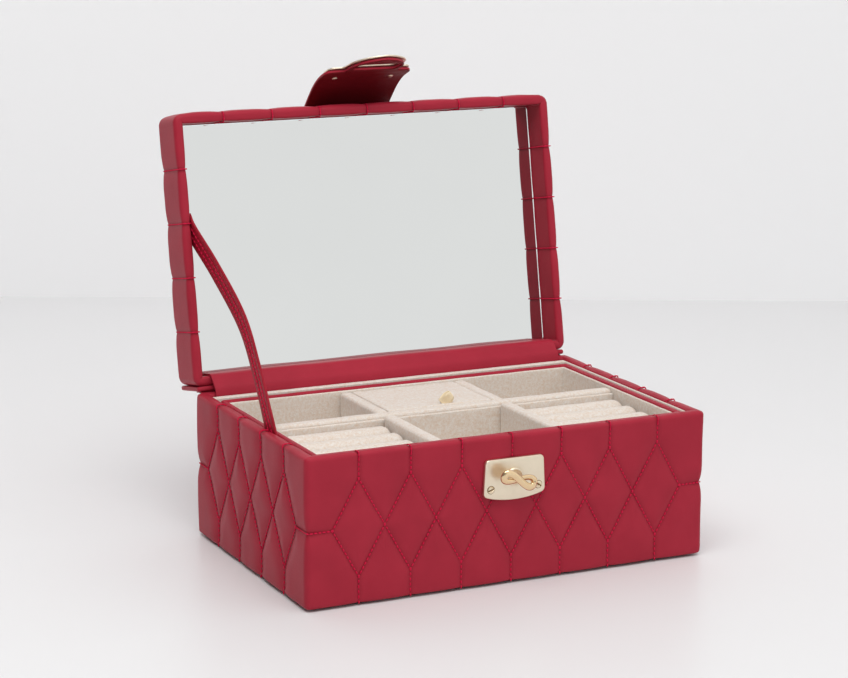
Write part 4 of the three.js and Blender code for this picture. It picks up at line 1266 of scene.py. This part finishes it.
class CASE_OT_strap(bpy.types.Operator):
    """The stay strap that holds the lid, with its two rows of stitches"""
    bl_idname = "case.strap"
    bl_label = "Stay strap"

    def execute(self, context):
        path = smooth_path(STRAP_LINE, 90)
        t = np.gradient(path, axis=0)
        across = unit(np.column_stack([np.zeros(len(t)), -t[:, 2], t[:, 1]]))
        half = 7.0      # mm, half the strap's width
        outer = [(-1.0, 0.0), (-0.97, 0.55), (-0.88, 0.8), (-0.62, 0.8), (-0.48, 0.62), (-0.2, 0.5),
                 (0, 0.5), (0.2, 0.5), (0.48, 0.62), (0.62, 0.8), (0.88, 0.8), (0.97, 0.55)]
        section = [(a * half, b) for a, b in outer]
        section += [(-a * half, -b) for a, b in outer]
        points, faces = strip(path, across, section)
        strap = piece("stay_strap_leather", [(points, faces, 0)], [FINISH["strap"]], None,
                      ["stay_strap"])
        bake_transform(strap)
        normal = np.cross(unit(t), across)
        lines = [path + across * w + normal * n for w in (-2.1, 2.1) for n in (-0.72, 0.72)]
        rows = sew("strap_stitches", lines, 13, share=0.46, closer=1.2)
        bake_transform(rows)
        return {"FINISHED"}


class CASE_OT_mirror(bpy.types.Operator):
    """The mirror, with its bevelled edge"""
    bl_idname = "case.mirror"
    bl_label = "Mirror"

    def execute(self, context):
        half_x = box_mm("mirror")[1][0]
        face = LID_RIM_Z + LID_RECESS
        front, back = LID_FRONT_Y + LID_WALL + 0.5, LID_BACK_Y - LID_WALL - 0.5
        bevel, bevel_deep, thick = 0.6, 0.14, 3.0
        path = np.array([(0.0, face + thick), (0.0, face - bevel_deep), (bevel, face)])
        wall = Wall((0, (front + back) / 2), (half_x, (back - front) / 2), 2.0, path, 60.0)
        rows = wall.surface()
        cols = rows.shape[1]
        shape = open_lid(rows.reshape(-1, 3))
        plain = [tuple(range(cols)), tuple(range(2 * cols, 3 * cols))]
        # The side and bevel faces take the brighter bevel glass, a painted highlight.
        piece("mirror_plate", [(shape, plain, 0), (shape, grid_faces(3, cols), 1)],
              [FINISH["mirror"], FINISH["bevel"]], "lid", ["mirror"],
              smooth=False)
        return {"FINISHED"}


# ---------------------------------------------------------------- flap and lock

FLAP_HALF, PLATE_HALF = 29.0, 27.5       # mm
# The flap's middle line on the shut lid: how far in front of the lid, and above its rim, mm.
FLAP_LINE = [(-4.2, 32.8), (0.6, 32.3), (3.2, 29.5), (7.6, 23.6), (12.9, 15.8), (17.3, 6.4),
             (19.8, -4.1), (21.5, -15.1), (23.2, -25.1), (25.8, -39)]


def flap_curve():
    """The flap's middle line as even points, and the run along it."""
    line = smooth_path(FLAP_LINE, 240)
    return line, run_along(line)


def flap_place(points):
    """Bend flat points (x, run along the flap, outward) round the flap's curve."""
    line, run = flap_curve()
    t = unit(np.gradient(line, axis=0))
    x, s, n = points[:, 0], points[:, 1], points[:, 2]
    f, v = (np.interp(s, run, line[:, k]) for k in (0, 1))
    tf, tv = (np.interp(s, run, t[:, k]) for k in (0, 1))
    over = s - np.clip(s, run[0], run[-1])
    f, v = f + tf * over - tv * n, v + tv * over + tf * n
    return open_lid(np.column_stack([x, LID_FRONT_Y - f, LID_RIM_Z + v]))


def run_at(level):
    """Run along the flap at a height above the lid's rim, past the crest."""
    line, run = flap_curve()
    crest = int(np.argmax(line[:, 1]))
    return float(np.interp(-level, -line[crest:, 1], run[crest:]))


def rounded_box(half, low, high, near, far):
    """Outline of a box about the middle line, with a corner radius for each of its ends."""
    return round_corners([(-half, low, near), (half, low, near), (half, high, far),
                          (-half, high, far)])


def tongue(top, half, shoulder, neck, tip, radius):
    """Outline of the flap or its plate: square at the top, shoulders, half-oval tongue."""
    start = shoulder + 9.0
    oval = [(math.copysign(neck * abs(math.cos(a)) ** 1.3, math.cos(a)),
             start + (tip - start) * math.sin(a) ** 0.92, 0) for a in np.linspace(0, math.pi, 33)]
    return round_corners([(-half, top, 1.2), (half, top, 1.2), (half, shoulder, radius),
                          (neck, shoulder + 1.2, 2.5), *oval, (-neck, shoulder + 1.2, 2.5),
                          (-half, shoulder, radius)], 9)


class CASE_OT_flap(bpy.types.Operator):
    """The closing flap: leather, its plate with the slot, and two rivets"""
    bl_idname = "case.flap"
    bl_label = "Flap and plate"

    def execute(self, context):
        slot_at, slot_w, slot_h, ease = run_at(-19.3), 26.0, 10.0, 1.7
        # The hole in the leather is wider all round than the slot in the plate.
        slot, hole = (rounded_box(slot_w / 2 + g, slot_at - slot_h / 2 - g,
                                  slot_at + slot_h / 2 + g, 3.5, 3.5) for g in (0.0, ease))
        slices = np.arange(0.5, run_at(-34), 1.1)
        outline = tongue(0.0, FLAP_HALF, run_at(-8), 17.4, run_at(-35), 6.0)
        p, faces = plate(outline, 2.0, 0.55, [hole], slices)
        # The outer layer is red; the lining under it is darker, painted shade for the underside in
        # shadow.
        lining = [1 if np.mean([p[i][2] for i in f]) < -0.2 else 0 for f in faces]
        placed = flap_place(p)
        parts = [(placed, [f for f, m in zip(faces, lining) if m == k], k) for k in (0, 1)]
        obj = piece("flap_two_layers", parts, [FINISH["leather"], FINISH["lining"]], None,
                    ["flap_leather"], angle=60)
        start, end = flap_place(np.array([(0, 0.3, 0), (0, 9.0, 0)], float)) * MM
        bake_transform(obj)

        outline = tongue(run_at(1.0), PLATE_HALF, run_at(-9.4), 18.5, run_at(-36.2), 4.5)
        p, faces = plate(outline, 1.0, 0.3, [slot], slices)
        p[:, 2] += 1.8
        piece("hasp_plate_metal", [(flap_place(p), faces, 0)], [FINISH["metal"]], "clasp",
              ["hasp_plate"], angle=35)
        for side, name in ((-1, "left"), (1, "right")):
            spot = np.array([(side * 19.0, run_at(4.0), -0.9), (side * 19.0, run_at(4.0), -2.0)])
            a, b = flap_place(spot)
            axis = unit(b - a)
            dome = [(0.02, -0.6), (1.8, -0.6), (1.8, 0.1), (1.6, 0.42), (1.1, 0.66), (0.5, 0.78),
                    (0.02, 0.8)]
            piece(f"flap_rivet_{name}_dome", [(*lathe(dome, a, axis, 20), 0)], [FINISH["metal"]],
                  "clasp", [f"flap_rivet_{name}"], angle=50)
        # The end of the flap that is sewn down on the lid's top.
        root = rounded_box(FLAP_HALF, LID_FRONT_Y + 5.0, LID_FRONT_Y + 28.0, 1.0, 6.0)
        p, faces = plate(root, 1.6, 0.5)
        p[:, 2] += LID_TOP_Z + 1.1
        piece("flap_root_leather", [(open_lid(p), faces, 0)], [FINISH["leather"]], "lid",
              ["flap_root"], angle=60)
        inner = round_corners([(-26.5, -76.0, 0), (-26.5, -57.6, 4.5), (26.5, -57.6, 4.5),
                               (26.5, -76.0, 0)], 6)
        z = LID_TOP_Z + 2.0
        sew("flap_root_stitches", [open_lid([(x, y, z) for x, y in inner])], 14, "lid")
        lines = [flap_place(np.array([(x, run, 1.12)
                                      for run in np.linspace(2.0, run_at(0.5), 24)]))
                 for x in (-26.6, 26.6)]
        rows = sew("flap_stitches", lines, 15)
        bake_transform(rows)
        return {"FINISHED"}


class CASE_OT_lock(bpy.types.Operator):
    """The lock plate, its two slotted screws, the collar and the twisted turn key"""
    bl_idname = "case.lock"
    bl_label = "Lock"

    def execute(self, context):
        low, high = box_mm("lock_plate")
        top, bottom, wide = high[2], low[2], (high[0] - low[0]) / 2
        face_y, back_y = low[1], high[1]
        # The plate's lower edge hangs in a shallow bow.
        bulge = [(x, bottom + 3.0 * (x / wide) ** 2, 0) for x in np.linspace(-15, 15, 11)]
        outline = round_corners(bulge + [(wide, bottom + 3.2, 2.8), (18.5, top, 2.6),
                                         (-18.5, top, 2.6), (-wide, bottom + 3.2, 2.8)], 8)
        p, faces = plate(outline, back_y - face_y, 0.55)
        place = np.column_stack([p[:, 0], (face_y + back_y) / 2 - p[:, 2], p[:, 1]])
        piece("lock_plate_metal", [(place, faces, 0)], [FINISH["metal"]], "body",
              ["lock_plate"], angle=35)
        low, high = box_mm("lock_collar")
        centre = (low + high) / 2
        r, deep = (high[0] - low[0]) / 2, high[1] - low[1]
        ring = [(0.02, 0), (r, 0), (r, deep - 0.5), (r - 0.25, deep - 0.15), (r - 0.7, deep),
                (r - 1.8, deep), (r - 2.2, deep - 0.3), (0.02, deep - 0.3)]
        piece("lock_collar_metal", [(*lathe(ring, (centre[0], high[1], centre[2]), (0, -1, 0)), 0)],
              [FINISH["metal"]], "body", ["lock_collar"], angle=40)
        self.screws()
        self.key()
        return {"FINISHED"}

    def screws(self):
        """Two domed heads, each with its slot cut across, and painted shade round the head and in
        the slot.
        """
        for name, turn in (("left", 20), ("right", -35)):
            low, high = box_mm(f"lock_screw_{name}")
            centre, r = (low + high) / 2, (high[0] - low[0]) / 2
            deep, slot_half, slot_deep = 0.8, 0.42, 0.5
            a = math.radians(turn)
            rings = [0.0, 0.35, 0.7, 1.05, 1.4, 1.75, r]
            angle = np.linspace(0, 2 * math.pi, 36, endpoint=False)
            rows = []
            for reach in [r, r] + rings[::-1]:
                rise = np.full(36, 0.0 if not rows else deep * (1 - 0.55 * (reach / r) ** 3))
                x, z = reach * np.cos(angle), reach * np.sin(angle)
                slot = np.abs(-x * math.sin(a) + z * math.cos(a)) < slot_half
                rise = np.where(slot & (rise > 0) & (reach < r), rise - slot_deep, rise)
                rows.append(np.column_stack([centre[0] + x, low[1] + deep - rise, centre[2] + z]))
            rows = np.array(rows)
            rows[0][:, 1] = high[1]
            faces = grid_faces(len(rows), 36) + [tuple(range(36))]
            # A dark ring round the head and a dark bar down the slot: painted shade for the gap and
            # the slot's depth.
            rim = lathe([(r - 0.1, 0.0), (r + 0.3, 0.0), (r + 0.3, 0.06), (r - 0.1, 0.1)],
                        (centre[0], low[1] + 0.83, centre[2]), (0, -1, 0), 30)
            line = soft_block((-r + 0.3, -0.06, -0.3), (r - 0.3, 0.1, 0.3), 0.05, 1.0)
            x, z = line[0][:, 0], line[0][:, 2]
            groove = np.column_stack([centre[0] + x * math.cos(a) - z * math.sin(a),
                                      low[1] + 0.36 + line[0][:, 1],
                                      centre[2] + x * math.sin(a) + z * math.cos(a)])
            piece(f"lock_screw_{name}_head",
                  [(rows.reshape(-1, 3), faces, 0), (*rim, 1), (groove, line[1], 1)],
                  [FINISH["screw"], FINISH["recess"]], "body",
                  [f"lock_screw_{name}"], angle=30)

    def key(self):
        """A flat link crossed over itself once along its length, on a short neck."""
        pivot = np.array([0.0, -86.85, 63.8])
        reach, cross, pass_over = 9.9, 2.6, 1.05      # mm, half its length and its two waves
        face = box_mm("turn_key")[0][1]
        tilt = math.radians(17)
        turn = np.linspace(0, 2 * math.pi, 96, endpoint=False)
        path = np.column_stack([reach * np.cos(turn) - 1.9, -cross * np.sin(2 * turn),
                                pass_over * np.sin(turn)])
        p, faces = tube(path, (2.1, 1.25), 16)
        x = p[:, 0] * math.cos(tilt) + p[:, 1] * math.sin(tilt)
        z = -p[:, 0] * math.sin(tilt) + p[:, 1] * math.cos(tilt)
        y = face + 1.9 - p[:, 2]
        parts = [(np.column_stack([pivot[0] + x, y, pivot[2] + z]), faces, 0)]
        neck = lathe([(0.02, -0.6), (2.4, -0.6), (2.4, 0.4), (2.1, 1.2), (2.1, 7.4), (0.02, 7.8)],
                     pivot, (0, -1, 0), 28)
        parts.append((*neck, 0))
        piece("turn_key_link", parts, [FINISH["key"]], "key", ["turn_key"], angle=50)


# ---------------------------------------------------------------- carried-over parts and stage

class CASE_OT_frame_parts(bpy.types.Operator):
    """Finish for the boards that stay as they are in the frame"""
    bl_idname = "case.frame_parts"
    bl_label = "Boards"

    def execute(self, context):
        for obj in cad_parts.values():
            if obj.type == "MESH":
                obj.data.materials.clear()
                obj.data.materials.append(FINISH["card"])
        return {"FINISHED"}


class CASE_OT_stage(bpy.types.Operator):
    """Floor, wall, light and camera"""
    bl_idname = "case.stage"
    bl_label = "Stage and camera"

    def execute(self, context):
        scene = context.scene
        yaw, pitch, roll = math.radians(-26.026), math.radians(12.373), math.radians(0.316)
        away_m, right_m, up_m, lift_m = 1.48937, -0.01400, 0.12171, 0.0015
        back = Vector((math.sin(yaw) * math.cos(pitch), -math.cos(yaw) * math.cos(pitch),
                       math.sin(pitch)))
        right = Vector((math.cos(yaw), math.sin(yaw), 0))
        up = back.cross(right)
        place = (back * away_m + right * right_m + up * up_m) + Vector((0, 0, lift_m))
        x = right * math.cos(roll) + up * math.sin(roll)
        y = up * math.cos(roll) - right * math.sin(roll)
        camera = bpy.data.cameras.new("camera")
        camera.lens, camera.sensor_width = 105.38, 36.0
        camera.clip_start, camera.clip_end = 0.05, 50
        cam = bpy.data.objects.new("camera", camera)
        cam.matrix_world = Matrix((x, y, back)).transposed().to_4x4()
        cam.location = place
        scene.collection.objects.link(cam)
        scene.camera = cam

        away = Vector((-back.x, -back.y, 0)).normalized()
        wall_away, half_w, wall_h = 2.17, 6, 3.5
        foot = Vector((place.x, place.y, 0))
        side = away.cross(Vector((0, 0, 1)))
        floor = self.sheet("studio_floor", [foot + side * s * half_w + away * d
                                            for s, d in ((-1, -4), (1, -4), (1, 7), (-1, 7))],
                           painted_board("pale_satin_board", "#E2E2E3", 0.36, 0.28))
        corners = [foot + away * wall_away + side * s * half_w + Vector((0, 0, h))
                   for s, h in ((-1, 0), (1, 0), (1, wall_h), (-1, wall_h))]
        wall = self.sheet("studio_wall", corners, one_way(
            painted_board("pale_matt_board", "#F8F9FA", 0.9, 0.1)))

        world = bpy.data.worlds.new("studio")
        scene.world = world
        world.use_nodes = True
        light = world.node_tree.nodes["Background"]
        light.inputs["Color"].default_value = (1.0, 0.998, 0.998, 1.0)
        # The studio is darker on the left of the case than in front and on the right.
        where = add(world.node_tree, "ShaderNodeTexCoord")
        parts = add(world.node_tree, "ShaderNodeSeparateXYZ",
                    links={0: where.outputs["Generated"]})
        fade = add(world.node_tree, "ShaderNodeMapRange", {"interpolation_type": "SMOOTHSTEP"},
                   {1: -0.8, 2: 0.15, 3: 0.22, 4: 0.96}, {0: parts.outputs["X"]})
        world.node_tree.links.new(fade.outputs[0], light.inputs["Strength"])
        spot, aim = Vector((-0.5, -0.7, 1.9)), Vector((0, 0, 0.1))
        lamp = bpy.data.lights.new("softbox_top", "AREA")
        lamp.shape, lamp.size, lamp.size_y = "RECTANGLE", 1.6, 1.2
        lamp.energy, lamp.color = 24.0, (1.0, 0.985, 0.97)
        softbox = bpy.data.objects.new("softbox_top", lamp)
        softbox.location = spot
        softbox.rotation_euler = (aim - spot).to_track_quat("-Z", "Y").to_euler()
        scene.collection.objects.link(softbox)
        scene.view_settings.view_transform = "Standard"
        return {"FINISHED"}

    @staticmethod
    def sheet(name, corners, material):
        """One flat board through four corners."""
        mesh = bpy.data.meshes.new(name)
        mesh.from_pydata(corners, [], [(0, 1, 2, 3)])
        mesh.materials.append(material)
        obj = bpy.data.objects.new(name, mesh)
        bpy.context.scene.collection.objects.link(obj)
        return obj


# ---------------------------------------------------------------- panel and registration

BUILDERS = (CASE_OT_stage, CASE_OT_frame_parts, CASE_OT_body_cover, CASE_OT_lid_cover,
            CASE_OT_linings, CASE_OT_tray, CASE_OT_ring_rolls, CASE_OT_small_lid,
            CASE_OT_hinge, CASE_OT_strap, CASE_OT_mirror, CASE_OT_flap, CASE_OT_lock)


class CASE_PT_panel(bpy.types.Panel):
    """Builders and settings of the jewellery case"""
    bl_idname = "CASE_PT_panel"
    bl_label = "Jewellery Case"
    bl_space_type = "VIEW_3D"
    bl_region_type = "UI"
    bl_category = "Jewellery Case"

    def draw(self, context):
        for group in (context.scene.case_quilting, context.scene.case_finish):
            box = self.layout.box()
            for name in group.__annotations__:
                box.prop(group, name)
        for builder in BUILDERS:
            self.layout.operator(builder.bl_idname)


CLASSES = (CASE_PG_quilting, CASE_PG_finish, *BUILDERS, CASE_PT_panel)


def register():
    for c in CLASSES:
        bpy.utils.register_class(c)
    bpy.types.Scene.case_quilting = PointerProperty(type=CASE_PG_quilting)
    bpy.types.Scene.case_finish = PointerProperty(type=CASE_PG_finish)


def unregister():
    del bpy.types.Scene.case_quilting, bpy.types.Scene.case_finish
    for c in reversed(CLASSES):
        bpy.utils.unregister_class(c)


def main():
    register()
    make_finishes()
    for builder in BUILDERS:
        group, name = builder.bl_idname.split(".")
        getattr(getattr(bpy.ops, group), name)()


if __name__ == "__main__":
    main()
